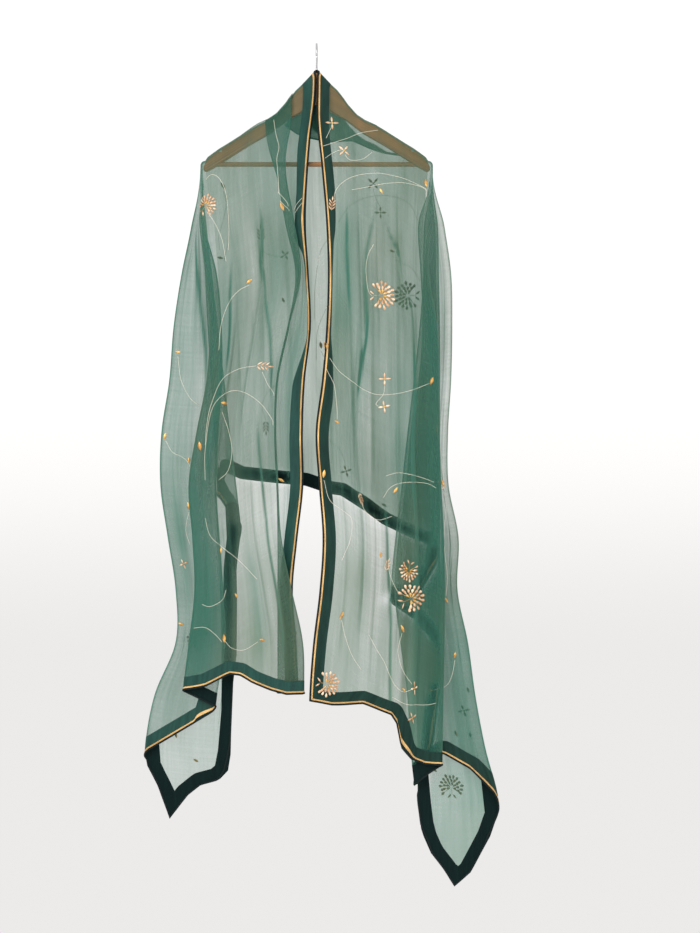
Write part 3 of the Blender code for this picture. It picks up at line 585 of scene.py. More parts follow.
class Stretch:  # one front stretch: folds that hang from an arm and fan out from its tip
    def __init__(self, values):
        for name, value in values.items():
            setattr(self, name, value)
        self.depths = np.array(self.depths, float)
        self.count = len(self.depths)
        self.span = (0.0, float(self.count))
        self.rightSide = -self.side
        self.lines = np.array([row[1] for row in self.folds], float)
        self.corner = max(self.hem, key=lambda point: point[1])[0]
        onArm = [row[0] for row in self.folds if row[0] is not None]
        self.tipPlace = len(onArm) - 0.1
        self.armPlaces = list(range(len(onArm))) + [self.tipPlace]
        self.armX = onArm + [self.side * cloth["tipReach"]]

    def topX(self, place):
        return np.interp(place, self.armPlaces, self.armX)

    def lift(self, place):  # how far a layer lies off the one under it, over the arm
        return np.interp(place, column(self.lifts, 0), column(self.lifts, 1))

    def topHeight(self, place):
        return crestHeight(self.topX(place)) - self.lift(place)

    def hemHeight(self, place):
        return np.interp(place, column(self.hem, 0), column(self.hem, 1))

    def lineX(self, index, height):
        last = len(levels) - 1
        position = np.clip((height - levels[0]) / (levels[1] - levels[0]), 0, last - 0.001)
        start = position.astype(int)
        along = position - start
        before = self.lines[index, np.maximum(start - 1, 0)]
        here = self.lines[index, start]
        after = self.lines[index, start + 1]
        beyond = self.lines[index, np.minimum(start + 2, last)]
        slopeIn = 0.5 * (after - before)
        slopeOut = 0.5 * (beyond - here)
        bend = 2 * along**3 - 3 * along**2
        return (
            (1 + bend) * here
            - bend * after
            + (along**3 - 2 * along**2 + along) * slopeIn
            + (along**3 - along**2) * slopeOut
        )

    def folded(self, place, height):
        share = cloth["foldShare"]
        layer = np.clip(np.floor(place), 0, self.count - 1).astype(int)
        within = place - layer
        startX = self.lineX(layer, height)
        endX = self.lineX(layer + 1, height)
        heading = np.sign(endX - startX)
        depth = self.depths[layer]
        bendStart = 0.5 * (depth - self.depths[np.maximum(layer - 1, 0)])
        bendEnd = 0.5 * (self.depths[np.minimum(layer + 1, self.count - 1)] - depth)
        flatStart = startX + heading * np.abs(bendStart)
        flatEnd = endX - heading * np.abs(bendEnd)
        shareStart = np.where(layer == 0, 0.0, share)
        shareEnd = np.where(layer == self.count - 1, 0.0, share)
        along = np.clip((within - shareStart) / (1 - shareStart - shareEnd), 0.0, 1.0)
        x = flatStart + along * (flatEnd - flatStart)
        y = depth + 0.0 * x
        turn = np.where(within < shareStart, (shareStart - within) / share, 0.0) * math.pi / 2
        x = x - heading * np.abs(bendStart) * np.sin(turn)
        y = y - bendStart * (1 - np.cos(turn))
        turn = np.where(within > 1 - shareEnd, (within - 1 + shareEnd) / share, 0.0) * math.pi / 2
        x = x + heading * np.abs(bendEnd) * np.sin(turn)
        y = y + bendEnd * (1 - np.cos(turn))
        return x, y

    def point(self, place, height):
        place, height = np.broadcast_arrays(np.asarray(place, float), np.asarray(height, float))
        depth = np.maximum(height - self.topHeight(place), 0.0)
        pastTip = np.clip((place - self.tipPlace) / (self.count - self.tipPlace), 0.0, 1.0)
        angle = math.pi * pastTip
        nearTip = smooth((place - self.tipPlace + 0.15) / 0.15)
        reach = rollReach(depth, nearTip) * (1.0 + self.lift(place) / cloth["rollRadius"])
        smoothX = self.topX(place) + self.side * reach * np.sin(angle)
        smoothY = -reach * np.cos(angle)
        openX, openY = self.folded(place, height)
        forward = forwardOffset(self.waves, self.creases, self.sharp, place, height)
        share = smooth(depth / cloth["openingLength"])
        nearEdge = np.clip(1.0 - place / 0.35, 0.0, 1.0)
        smoothX = smoothX - self.side * cloth["edgePinch"] * smooth(depth / cloth["edgeSoft"]) * nearEdge
        x = smoothX + share * (openX - smoothX)
        y = smoothY + share * (openY - smoothY - forward)
        return np.stack([x, y, -height], axis=-1)

    def columns(self, first):
        share = cloth["foldShare"]
        first = np.asarray(first, float)
        places = []
        for layer, count in enumerate(self.steps):
            start = layer + (share if layer else 0.0)
            end = layer + 1 - (share if layer < self.count - 1 else 0.0)
            inner = first if layer == 0 else start + 0.0 * first
            places += [inner + (end - inner) * step / count for step in range(count)]
            places.append(end + 0.0 * first)
            if layer < self.count - 1:
                turns = np.linspace(-1.0, 1.0, 11)[1:-1]
                places += [layer + 1 + turn * share + 0.0 * first for turn in turns]
        places = np.stack(places, axis=-1)
        places[..., self.cornerColumn(places)] = self.corner
        return places

    def cornerColumn(self, places):
        return int(np.argmin(np.abs(places.reshape(-1, places.shape[-1])[-1] - self.corner)))

    def rowHeights(self, places, ends):
        rows = columnHeights(self.topHeight(places), ends)
        index = np.arange(len(rows))
        return rows[index, index]

    def neckInset(self, width):
        edgeHeights = columnHeights(self.topHeight(0.0), self.hemHeight(0.0))
        edge = self.point(0.0, edgeHeights)
        place = np.full(len(edgeHeights), 0.2)
        for _ in range(8):
            heights = self.rowHeights(place, self.hemHeight(place))
            gap = np.abs(self.point(place, heights)[:, 0] - edge[:, 0])
            place = np.clip(place * width / gap, 0.02, 1.0 - cloth["foldShare"] - 0.02)
        return place


class Back:  # the cloth across the back, between the two front stretches
    def __init__(self, left, right, values):
        self.left = left
        self.right = right
        self.hem, self.waves, self.creases = values["hem"], values["waves"], values["creases"]
        self.span = (-cloth["tipReach"], cloth["tipReach"])
        self.rightSide = 1

    def across(self, x):
        return (x + cloth["tipReach"]) / (2 * cloth["tipReach"])

    def hemHeight(self, x):
        first, last = self.hem[0][0], self.hem[-1][0]
        atHem = first + self.across(x) * (last - first)
        return np.interp(atHem, column(self.hem, 0), column(self.hem, 1))

    def point(self, x, height):
        x, height = np.broadcast_arrays(np.asarray(x, float), np.asarray(height, float))
        depth = np.maximum(height - crestHeight(x), 0.0)
        nearTip = smooth((np.abs(x) - cloth["tipReach"] + cloth["tipSoft"]) / cloth["tipSoft"])
        smoothY = rollReach(depth, nearTip)
        across = self.across(x)
        leftX = self.left.lineX(self.left.count, height)
        rightX = self.right.lineX(self.right.count, height)
        openX = leftX + across * (rightX - leftX)
        leftY, rightY = self.left.depths[-1], self.right.depths[-1]
        forward = forwardOffset(self.waves, self.creases, (), x, height)
        openY = leftY + across * (rightY - leftY) - forward
        share = smooth(depth / cloth["openingLength"])
        newX = x + share * (openX - x)
        return np.stack([newX, smoothY + share * (openY - smoothY), -height], axis=-1)


def columnHeights(top, end):  # close together over the arm, then down to the end
    radius = cloth["rollRadius"]
    rolled = [radius * (1 - math.cos(math.radians(angle))) for angle in range(0, 91, 10)]
    shares = (np.arange(1, cloth["dropRows"] + 1) / cloth["dropRows"]) ** 1.12
    top = np.asarray(top, float)
    end = np.asarray(end, float)
    rows = [top + depth for depth in rolled]
    rows += [top + radius + share * (end - top - radius) for share in shares]
    return np.stack(rows, axis=0)


def insetHeight(span, place, reach, width):  # height at which the cloth is `width` from its hem
    nearby = np.linspace(max(place - reach, span.span[0]), min(place + reach, span.span[1]), 241)
    edge = span.point(nearby, span.hemHeight(nearby))
    end = float(span.hemHeight(place))
    heights = end - np.arange(0.0, cloth["insetDeep"], cloth["insetStep"])
    points = span.point(np.full(heights.shape, place), heights)
    gaps = np.sqrt(((points[:, None] - edge[None]) ** 2).sum(axis=2).min(axis=1))
    inside = np.nonzero(gaps >= width)[0]
    step = max(int(inside[0]), 1) if len(inside) else len(heights) - 1
    share = (width - gaps[step - 1]) / max(gaps[step] - gaps[step - 1], 1e-6)
    return heights[step - 1] - cloth["insetStep"] * min(max(share, 0.0), 1.0)


def insetHeights(span, places, reach, width):
    found = [insetHeight(span, float(place), reach, width) for place in np.ravel(places)]
    return np.array(found).reshape(np.shape(places))


def outward(points, rightSide):  # unit vectors off the cloth's right side
    down = np.gradient(points, axis=0)
    across = np.gradient(points, axis=1)
    return rightSide * unit(np.cross(across, down))


pieces = {"hanger": [], "left": [], "right": [], "back": []}


def keep(obj, group, slotName, *nodes):
    if nodes:
        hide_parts(*nodes)
    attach(obj, "root")
    pieces[group].append(obj)


def closenessAndShade(points, close):  # threads look closer where the cloth is turned away from the room; the given close adds more, painted shade among it
    facing = np.abs(outward(points, 1)[..., 1])
    turned = 1.0 / np.maximum(facing, cloth["turnLeast"]) - 1.0
    return np.clip(cloth["turnGain"] * turned, 0.0, cloth["turnMost"]) + close


def addObject(mesh, material):
    mesh.materials.append(material)
    mesh.polygons.foreach_set("use_smooth", [True] * len(mesh.polygons))
    obj = bpy.data.objects.new(mesh.name, mesh)
    bpy.context.scene.collection.objects.link(obj)
    return obj


def clothMesh(name, points, rightSide, material, close=None, wall=0.0, wrongMaterial=None, tealShade=0.0):
    rows, columns = points.shape[:2]
    index = np.arange(rows * columns).reshape(rows, columns)
    corners = [index[:-1, :-1], index[:-1, 1:], index[1:, 1:], index[1:, :-1]]
    if rightSide < 0:
        corners = corners[::-1]
    faces = np.stack(corners, axis=-1).reshape(-1, 4)
    mesh = bpy.data.meshes.new(name)
    mesh.from_pydata((points.reshape(-1, 3) * 0.001).tolist(), [], faces.tolist())
    acrossStep = np.linalg.norm(np.diff(points, axis=1), axis=2).mean(axis=0)
    downStep = np.linalg.norm(np.diff(points, axis=0), axis=2)
    u = np.concatenate([[0.0], np.cumsum(acrossStep)]) * 0.001
    v = np.concatenate([np.zeros((1, columns)), np.cumsum(downStep, axis=0)]) * 0.001
    uv = np.stack([np.broadcast_to(u, v.shape), v], axis=-1).reshape(-1, 2)
    layer = mesh.uv_layers.new(name="cut")
    layer.data.foreach_set("uv", uv[faces.reshape(-1)].astype(np.float32).reshape(-1))
    if close is not None:
        threads = {"closenessAndShade": closenessAndShade(points, close), "tealShade": tealShade + 0.0 * points[..., 0]}
        for attribute, values in threads.items():
            made = mesh.attributes.new(attribute, "FLOAT", "POINT")
            made.data.foreach_set("value", values.reshape(-1).astype(np.float32))
    obj = addObject(mesh, material)
    if wall:
        if wrongMaterial:
            mesh.materials.append(wrongMaterial)
        solid = obj.modifiers.new("wall", "SOLIDIFY")
        solid.thickness = wall * 0.001
        solid.offset = 0.0
        if wrongMaterial:
            solid.material_offset = 1
            solid.material_offset_rim = 0
        deselectAll()
        bpy.context.view_layer.objects.active = obj
        obj.select_set(True)
        bpy.ops.object.modifier_apply(modifier="wall")
        bpy.ops.object.shade_smooth_by_angle(angle=math.radians(50))
        deselectAll()
    return obj


cordSide = 0.00078  # how wide a cord's side is in the weave, in metres for a radius of 1 mm


def cordMesh(name, path, side, radius, material, sides=8):  # a closed tube along points in millimetres
    path = np.asarray(path, float)
    along = unit(np.gradient(path, axis=0))
    first = unit(side - (side * along).sum(axis=1, keepdims=True) * along)
    second = np.cross(along, first)
    turns = np.arange(sides) * 2 * math.pi / sides
    rings = (
        path[:, None]
        + radius * np.cos(turns)[None, :, None] * first[:, None]
        + radius * np.sin(turns)[None, :, None] * second[:, None]
    )
    count = len(path)
    verts = np.concatenate([rings.reshape(-1, 3), path[:1], path[-1:]])
    faces, uvs = [], []
    distance = np.concatenate([[0.0], np.cumsum(np.linalg.norm(np.diff(path, axis=0), axis=1))]) * 0.001
    for row in range(count - 1):
        for turn in range(sides):
            after = (turn + 1) % sides
            faces.append((row * sides + turn, row * sides + after,
                          (row + 1) * sides + after, (row + 1) * sides + turn))
            low, high = turn * radius * cordSide, (turn + 1) * radius * cordSide
            uvs += [(low, distance[row]), (high, distance[row]),
                    (high, distance[row + 1]), (low, distance[row + 1])]
    for turn in range(sides):
        after = (turn + 1) % sides
        last = (count - 1) * sides
        faces.append((after, turn, count * sides))
        faces.append((last + turn, last + after, count * sides + 1))
        uvs += [(0.0, 0.0)] * 6
    return verts, faces, uvs, material, name


def cordObject(made):
    verts, faces, uvs, material, name = made
    mesh = bpy.data.meshes.new(name)
    mesh.from_pydata((np.asarray(verts) * 0.001).tolist(), [], faces)
    layer = mesh.uv_layers.new(name="cut")
    layer.data.foreach_set("uv", np.asarray(uvs, np.float32).reshape(-1))
    return addObject(mesh, material)


def sewBorder(name, group, satinPoints, goldPoints, rightSide, satinLook, looks, *alsoNodes):
    satin = clothMesh(
        f"{name}Border_{group}", satinPoints, rightSide, satinLook, None, cloth["satinWall"],
        looks["satinWrong"],
    )
    keep(satin, group, "satin", f"{name}_border_{group}", *alsoNodes)
    lift = 0.5 * cloth["satinWall"] + 0.5 * cloth["goldWall"] + cloth["goldGap"]
    raised = goldPoints + lift * outward(goldPoints, rightSide)
    gold = clothMesh(f"{name}Gold_{group}", raised, rightSide, looks["gold"], None, cloth["goldWall"])
    keep(gold, group, "gold", f"{name}_gold_{group}")


# lines along a border, as shares of its width from the edge; the third to fifth carry the gold
borderShares = (0.0, 0.07, 0.145, 0.20, 0.255, 0.44, 0.63, 0.82, 1.0)


def borderMiddle(span, places, width):  # the middle line of a border, seen from the front
    edge = span.point(places, span.hemHeight(places))
    up = span.point(places, span.hemHeight(places) - 10.0) - edge
    along = np.gradient(edge, axis=0)
    inward = np.stack([-along[:, 2], 0.0 * along[:, 1], along[:, 0]], axis=1)
    inward *= np.sign((inward * up).sum(axis=1, keepdims=True))
    return edge + 0.5 * width * unit(inward)


def overBorders(stretch, back, points, places, width):  # 1 where a border lies right behind the cloth
    first, last = stretch.seenThrough
    knots = [row[0] for row in stretch.hem if first <= row[0] <= last]
    behind = np.interp(np.linspace(0, len(knots) - 1, 80), range(len(knots)), knots)
    x = np.linspace(*backSpan["seen"], 60)
    marks = list(zip(borderMiddle(stretch, behind, width), behind - cloth["clearBehind"]))
    marks += [(mark, stretch.count + 1.0) for mark in borderMiddle(back, x, width)]
    clear = np.zeros(places.shape)
    for mark, limit in marks:
        gap = np.hypot(points[..., 0] - mark[0], points[..., 2] - mark[2])
        clear = np.maximum(clear, bulge(gap, 0.0, cloth["clearReach"]) * (places < limit))
    return clear * smooth((cloth["clearWithin"] - stretch.side * points[..., 0]) / cloth["clearSoft"])


def threadLooks(stretch, places, heights):  # how close the threads are, how much teal shade is painted on them, and the panel's place
    # lower down the front cloth is made denser: painted shade
    low = smooth((heights - cloth["lowFrom"]) / cloth["lowOver"]) * (places < stretch.lowTo)
    close = cloth["lowShadeCover"] * low
    offPanel = np.maximum(stretch.panel - places, places - stretch.panel - 1.0)
    tealShade = cloth["panelTeal"] + (cloth["foldTeal"] - cloth["panelTeal"]) * smooth(offPanel / 0.1)
    beside = smooth((places - stretch.panel - 0.6) / 0.1)
    lowTeal = (offPanel < 0) * (cloth["besideTeal"] * beside + cloth["lowTeal"])
    tealShade = tealShade + low * (lowTeal + cloth["pleatTeal"] * (places < stretch.panel))
    for middle, halfWidth, start, end, amount in stretch.bands:
        fade = faded(heights, start, end, cloth["bandFade"])
        band = amount * fade * bulge(places, middle, halfWidth)
        close, tealShade = close + band, tealShade + cloth["bandTeal"] * band
    for line in stretch.sharp:
        pinch = alongLine(line, places, heights, cloth["pinchNarrow"])
        close, tealShade = close + cloth["pinch"] * pinch, tealShade + cloth["pinchTeal"] * pinch
    return close, tealShade, offPanel < 0


def neckStrip(stretch, inset, showing, width):  # the border by the hook, narrower where it turns under
    goldEnd = borderShares[4]
    steps = []
    for share in borderShares:
        beyond = max(share - goldEnd, 0.0) / (1.0 - goldEnd)
        place = (min(share, goldEnd) + beyond * (showing - goldEnd)) * inset
        hem = stretch.hemHeight(place[-1])
        inner = insetHeights(stretch, place[-1:], cloth["frontReach"], width)[0]
        steps.append(stretch.point(place, stretch.rowHeights(place, hem + share * (inner - hem))))
    return np.stack(steps, axis=1)


def sewPiping(name, group, edge, inside, looks):
    across = edge - inside
    path = edge - cloth["pipingIn"] / borderShares[1] * across
    cord = cordMesh(name, path, across, cloth["pipingRadius"], looks["piping"])
    keep(cordObject(cord), group, "satin")


def makeFront(stretch, back, suffix, looks):
    width = cloth["borderWidth"]
    inset = stretch.neckInset(width)
    showing = np.interp(
        columnHeights(stretch.topHeight(0.0), stretch.hemHeight(0.0)),
        column(stretch.neckWidths, 0), column(stretch.neckWidths, 1),
    ) / width
    places = stretch.columns(inset * showing)
    ends = insetHeights(stretch, places[-1], cloth["frontReach"], width)
    heights = np.stack(
        [stretch.rowHeights(places[:, c], ends[c]) for c in range(places.shape[1])], axis=1
    )
    close, tealShade, onPanel = threadLooks(stretch, places, heights)
    points = stretch.point(places, heights)
    clear = overBorders(stretch, back, points, places, width)
    close = close - clear * np.where(onPanel, cloth["clearPanel"], cloth["clearStack"])
    tealShade = tealShade + cloth["clearTeal"] * clear
    ground = clothMesh(
        f"organza_{suffix}", points, stretch.rightSide, looks["organza"], close, tealShade=tealShade,
    )
    keep(ground, suffix, "organza", f"stole_{suffix}")

    neck = neckStrip(stretch, inset, showing, width)
    neckSatin = looks["satin"] if suffix == "left" else looks["satinShade"]
    sewBorder(
        "neck", suffix, neck, neck[:, 2:5], stretch.rightSide, neckSatin, looks,
        f"neck_border_top_{suffix}",
    )

    shares = np.array(borderShares[::-1])
    places = stretch.columns(shares * inset[-1])
    hem = stretch.hemHeight(places)
    inner = insetHeights(stretch, places, cloth["frontReach"], width)
    border = stretch.point(places, hem + shares[:, None] * (inner - hem))
    corner = stretch.cornerColumn(places)
    parts = (("end", border[:, : corner + 1], neckSatin), ("outer", border[:, corner:], looks["satin"]))
    for name, part, satinLook in parts:
        sewBorder(name, suffix, part, part[4:7], stretch.rightSide, satinLook, looks)

    edge = np.concatenate([neck[:, 0], border[-1][1:]])
    inside = np.concatenate([neck[:, 1], border[-2][1:]])
    sewPiping(f"piping_{suffix}", suffix, edge, inside, looks)
    print("front", suffix, "laid")
    return ground


def neckHeight(halfWidth, lowest, drop):
    top = crestHeight(halfWidth)
    return top + drop * (lowest - top)


def makeBack(back, looks):
    width, atHook, reach = cloth["borderWidth"], cloth["edgeAtHook"], cloth["tipReach"]
    inner = atHook + width
    drops = np.concatenate([np.linspace(0.0, 0.3, 8) ** 1.3, np.linspace(0.3, 1.0, 10)[1:]])
    near = inner * np.sqrt(1.0 - drops)
    beyond = np.linspace(reach, inner, backSpan["columns"] // 2)[:-1]
    half = np.concatenate([beyond, near])
    tops = np.concatenate([
        crestHeight(beyond), neckHeight(inner, cloth["neckLowest"] + width, drops),
    ])
    x = np.concatenate([-half, half[-2::-1]])
    tops = np.concatenate([tops, tops[-2::-1]])
    ends = insetHeights(back, x, cloth["backReach"], width)
    heights = columnHeights(tops, ends)
    placeX = np.broadcast_to(x, heights.shape)
    # the back is made denser all over: painted shade
    ground = clothMesh(
        "organza_back", back.point(placeX, heights), 1, looks["organza"],
        np.full(heights.shape, cloth["backShadeCover"]), tealShade=cloth["backTeal"],
    )
    keep(ground, "back", "organza", "stole_back")

    sides = np.sqrt(1.0 - drops)
    sides = np.concatenate([-sides, sides[-2::-1]])
    drops = np.concatenate([drops, drops[-2::-1]])
    rows = []
    for share in borderShares:
        halfWidth = atHook + share * width
        lowest = cloth["neckLowest"] + share * width
        rows.append(back.point(halfWidth * sides, neckHeight(halfWidth, lowest, drops)))
    neck = np.stack(rows, axis=0)
    sewBorder("neck", "back", neck, neck[2:5], 1, looks["satin"], looks)

    shares = np.array(borderShares[::-1])[:, None]
    hem = back.hemHeight(x)
    border = back.point(np.broadcast_to(x, (len(shares), len(x))), hem + shares * (ends - hem))
    sewBorder("outer", "back", border, border[4:7], 1, looks["satin"], looks)

    sewPiping("pipingHem_back", "back", border[-1], border[-2], looks)
    sewPiping("pipingNeck_back", "back", neck[0], neck[1], looks)
    makeSwag(back, looks)
    print("back laid")
    return ground


# the fold that sags behind the hook: millimetres, then how close its threads look and how much teal shade
# is painted on it
swag = {"tall": 36.0, "leastTall": 4.0, "away": 3.0, "halfFoot": 1.3, "close": 0.7, "tealShade": 0.8}


def makeSwag(back, looks):
    foot = backSpan["swag"]
    x = np.linspace(foot[0][0], foot[-1][0], 64)
    low = np.interp(x, column(foot, 0), column(foot, 1))
    high = np.minimum(crestHeight(x) + swag["tall"], low - swag["leastTall"])
    turns = np.concatenate([
        np.linspace(-1.0, -0.12, 12), np.linspace(-0.1, 0.1, 5), np.linspace(0.12, 1.0, 12),
    ])
    rows = []
    for turn in turns:  # down the front of the fold, round its foot and up behind
        height = low + (high - low) * abs(turn)
        away = swag["away"] + swag["halfFoot"] * np.clip(turn / 0.1, -1.0, 1.0)
        row = back.point(x, height)
        row[:, 1] -= away
        rows.append(row)
    fold = clothMesh(
        "organzaFold_back", np.stack(rows, axis=0), 1, looks["organza"],
        np.full((len(turns), len(x)), swag["close"]), tealShade=swag["tealShade"],
    )
    keep(fold, "back", "organza")


# where the embroidery is sewn: layer, x, height, turn, and length or size, in millimetres and degrees
leftStitches = {
    "leaves": (
        (2, -66, 309, 15, 17), (2, -129, 451, -50, 15), (4, -265, 586, 85, 13), (2, -177, 684, 80, 16),
        (2, -223, 766, 20, 19), (4, -290, 747, -10, 15), (4, -244, 793, 0, 12), (4, -244, 881, 10, 17),
        (2, -183, 965, -10, 14), (2, -177, 1133, 5, 17), (4, -261, 1106, 70, 13), (0, -32, 1123, -55, 13),
        (0, -68, 831, 60, 14), (2, -104, 1136, 80, 12), (2, -154, 1052, 30, 12), (5, -269, 1318, 20, 12),
        (5, -231, 1366, 60, 12), (5, -215, 1232, 10, 12),
    ),
    "sprigs": ((2, -106, 613, -95, 1.05),),
    "stars": ((4, -254, 991, 20, 0.8),),
    "fans": ((2, -212, 306, -30, 0.8), (5, -227, 1133, 60, 0.8)),
    "vines": (
        (2, ((-213, 254), (-200, 244), (-185, 254), (-173, 286), (-168, 344), (-169, 392))),
        (2, ((-104, 625), (-93, 649), (-78, 670))),
        (2, ((-213, 764), (-210, 726), (-202, 688), (-181, 640), (-150, 619), (-116, 613))),
        (2, ((-213, 831), (-213, 774), (-202, 701), (-177, 667), (-146, 661), (-108, 684), (-78, 726))),
        (2, ((-213, 903), (-204, 936), (-183, 957), (-146, 987), (-114, 1020))),
        (0, ((-66, 1031), (-55, 1037), (-45, 1056), (-32, 1114))),
        (2, ((-238, 1114), (-213, 1112), (-194, 1125), (-181, 1140))),
        (2, ((-82, 138), (-78, 166), (-72, 193), (-76, 216), (-74, 250), (-72, 283))),
        (2, ((-74, 281), (-62, 294), (-51, 308))), (0, ((-43, 315), (-38, 304), (-28, 292))),
        (2, ((-70, 298), (-59, 309), (-49, 317))), (0, ((-41, 321), (-34, 309), (-26, 300))),
        (2, ((-129, 458), (-150, 470), (-169, 495), (-183, 537), (-187, 583))),
        (4, ((-265, 594), (-259, 640), (-242, 674), (-225, 688))),
        (4, ((-288, 756), (-276, 777), (-257, 787), (-244, 800), (-236, 831))),
        (4, ((-244, 892), (-250, 926), (-242, 955))),
        (2, ((-210, 319), (-196, 338), (-181, 372), (-173, 414))),
        (2, ((-177, 1136), (-162, 1152), (-139, 1156), (-112, 1140))),
        (2, ((-181, 701), (-169, 735), (-162, 774), (-169, 812), (-187, 831))),
        (2, ((-173, 1041), (-181, 1060), (-204, 1072), (-219, 1068))),
    ),
}
rightStitches = {
    "leaves": (
        (0, 220, 260, 10, 17), (0, 123, 279, 30, 12), (0, 220, 642, -20, 17), (0, 39, 720, 60, 11),
        (0, 14, 819, -15, 17), (2, 241, 837, 30, 17), (0, 164, 1114, 30, 17), (0, 123, 974, 0, 13),
        (0, 48, 1089, -25, 17), (2, 216, 1232, 80, 12), (0, 151, 850, -40, 15), (0, 10, 573, 20, 17),
        (0, 167, 1230, 60, 10), (2, 230, 735, 10, 13), (2, 247, 1060, 30, 13), (2, 264, 1165, -20, 13),
        (3, 266, 1314, 20, 14), (3, 293, 1318, 0, 12), (3, 289, 1232, 10, 12), (3, 226, 1385, 40, 11),
    ),
    "sprigs": (
        (0, 29, 308, -10, 0.85), (0, 83, 863, -160, 0.8), (2, 239, 842, 20, 0.7), (0, 134, 997, -20, 0.8),
    ),
    "stars": (
        (0, 29, 147, 0, 1.1), (0, 52, 202, 45, 1.0), (0, 130, 638, 0, 1.0), (0, 129, 691, 10, 1.0),
        (0, 186, 1228, 5, 1.1), (0, 182, 1284, 20, 1.0), (3, 281, 1272, 10, 1.0),
    ),
    "fans": (
        (0, 124, 478, -90, 1.0), (0, 176, 1003, 165, 0.8), (0, 180, 1056, -60, 1.0),
        (0, 20, 1220, -100, 0.9), (3, 257, 1417, 0, 0.9),
    ),
    "vines": (
        (0, ((54, 201), (45, 201), (31, 206), (16, 216))), (0, ((31, 151), (25, 162), (18, 178))),
        (0, ((67, 277), (106, 269), (159, 262), (201, 269), (218, 288))),
        (0, ((12, 193), (31, 187), (54, 178), (83, 162), (117, 155))),
        (0, ((33, 306), (37, 277), (64, 254), (111, 244), (169, 254), (220, 277))),
        (0, ((25, 598), (41, 621), (64, 640), (92, 659), (121, 668), (169, 663), (216, 646))),
        (0, ((132, 823), (155, 817), (182, 821), (209, 829), (224, 835))),
        (0, ((127, 865), (140, 846), (159, 837), (186, 835), (213, 838), (228, 846))),
        (0, ((144, 1245), (169, 1257), (207, 1261), (228, 1257))),
        (0, ((106, 479), (98, 468), (94, 430), (98, 401), (109, 380))),
        (0, ((136, 984), (140, 1012), (153, 1041), (161, 1049))),
        (0, ((100, 1127), (113, 1152), (129, 1178), (146, 1217), (163, 1234), (180, 1230))),
        (0, ((48, 1098), (54, 1127), (67, 1165), (85, 1194))),
        (0, ((14, 831), (25, 869), (54, 892), (67, 907), (64, 945), (48, 984))),
        (0, ((130, 649), (127, 668), (113, 686), (129, 693))),
        (0, ((54, 210), (64, 220), (87, 216), (106, 201))),
        (0, ((83, 869), (94, 892), (117, 907), (144, 900))),
        (2, ((241, 850), (247, 879), (243, 945), (249, 1012), (247, 1052))),
        (2, ((230, 745), (237, 774), (239, 808), (241, 827))),
        (2, ((264, 1175), (258, 1205), (247, 1224), (224, 1232))),
        (0, ((10, 583), (18, 617), (33, 649), (39, 697), (39, 716))),
        (0, ((163, 1123), (155, 1156), (163, 1190), (182, 1220))),
    ),
}
backStitches = {
    "leaves": (
        (0, -179, 271, 30, 15), (0, -198, 407, 80, 13), (0, 8, 573, 10, 15), (0, -106, 414, 40, 12),
        (0, -64, 487, 20, 12), (0, 144, 392, 70, 12), (0, -32, 735, 50, 12), (0, 129, 879, 60, 12),
    ),
    "sprigs": ((0, -106, 365, 0, 1.0), (0, -97, 726, 180, 0.9)),
    "stars": (
        (0, -61, 401, 30, 0.9), (0, 108, 264, 45, 1.1), (0, 122, 319, 0, 1.0), (0, 56, 814, 15, 1.0),
    ),
    "fans": ((0, 174, 478, 90, 1.0),),
    "vines": (
        (0, ((41, 338), (64, 306), (106, 288), (144, 288), (178, 304), (193, 334))),
        (0, ((25, 487), (2, 544), (-1, 602))), (0, ((-181, 265), (-169, 315), (-169, 372), (-177, 414))),
        (0, ((33, 357), (8, 392), (-3, 458), (-5, 525))), (0, ((108, 273), (113, 292), (123, 311))),
        (0, ((144, 401), (159, 414), (182, 426), (197, 449))),
        (0, ((56, 804), (45, 774), (25, 754), (16, 716))),
        (0, ((-106, 372), (-101, 395), (-78, 403), (-62, 403))),
        (0, ((-179, 281), (-173, 306), (-181, 344), (-196, 392))),
        (0, ((-97, 716), (-104, 693), (-97, 668), (-78, 649))), (0, ((8, 583), (18, 611), (10, 649))),
    ),
}
sewing = {
    "eyeX": 63.6, "eyeHeight": 805.0, "eyeBack": 3000.0, "backReach": 206.0, "flatPart": (0.13, 0.87),
    "threadRadius": 0.38, "threadLift": 0.4, "lift": 0.95, "thick": 1.7, "fullWidth": 3.5,
    "petals": (4.0, 93.0, 178.0, 271.0), "petalLength": 11.0, "petalWidth": 4.1, "stemWidth": 0.9,
    # a fan's rings: how far out, which way each drop points, and its length and width
    "rings": (
        (7.0, (-110, -64, -20, 24, 68, 112), 8.5, 5.0),
        (14.0, (-118, -90, -62, -34, -6, 22, 50, 78, 106), 9.6, 5.6),
        (21.5, (-124, -103, -82, -61, -40, -19, 2, 23, 44, 65, 86, 107, 126), 10.2, 5.8),
    ),
    "stems": (-124, -73, -22, 30, 81, 126),
}


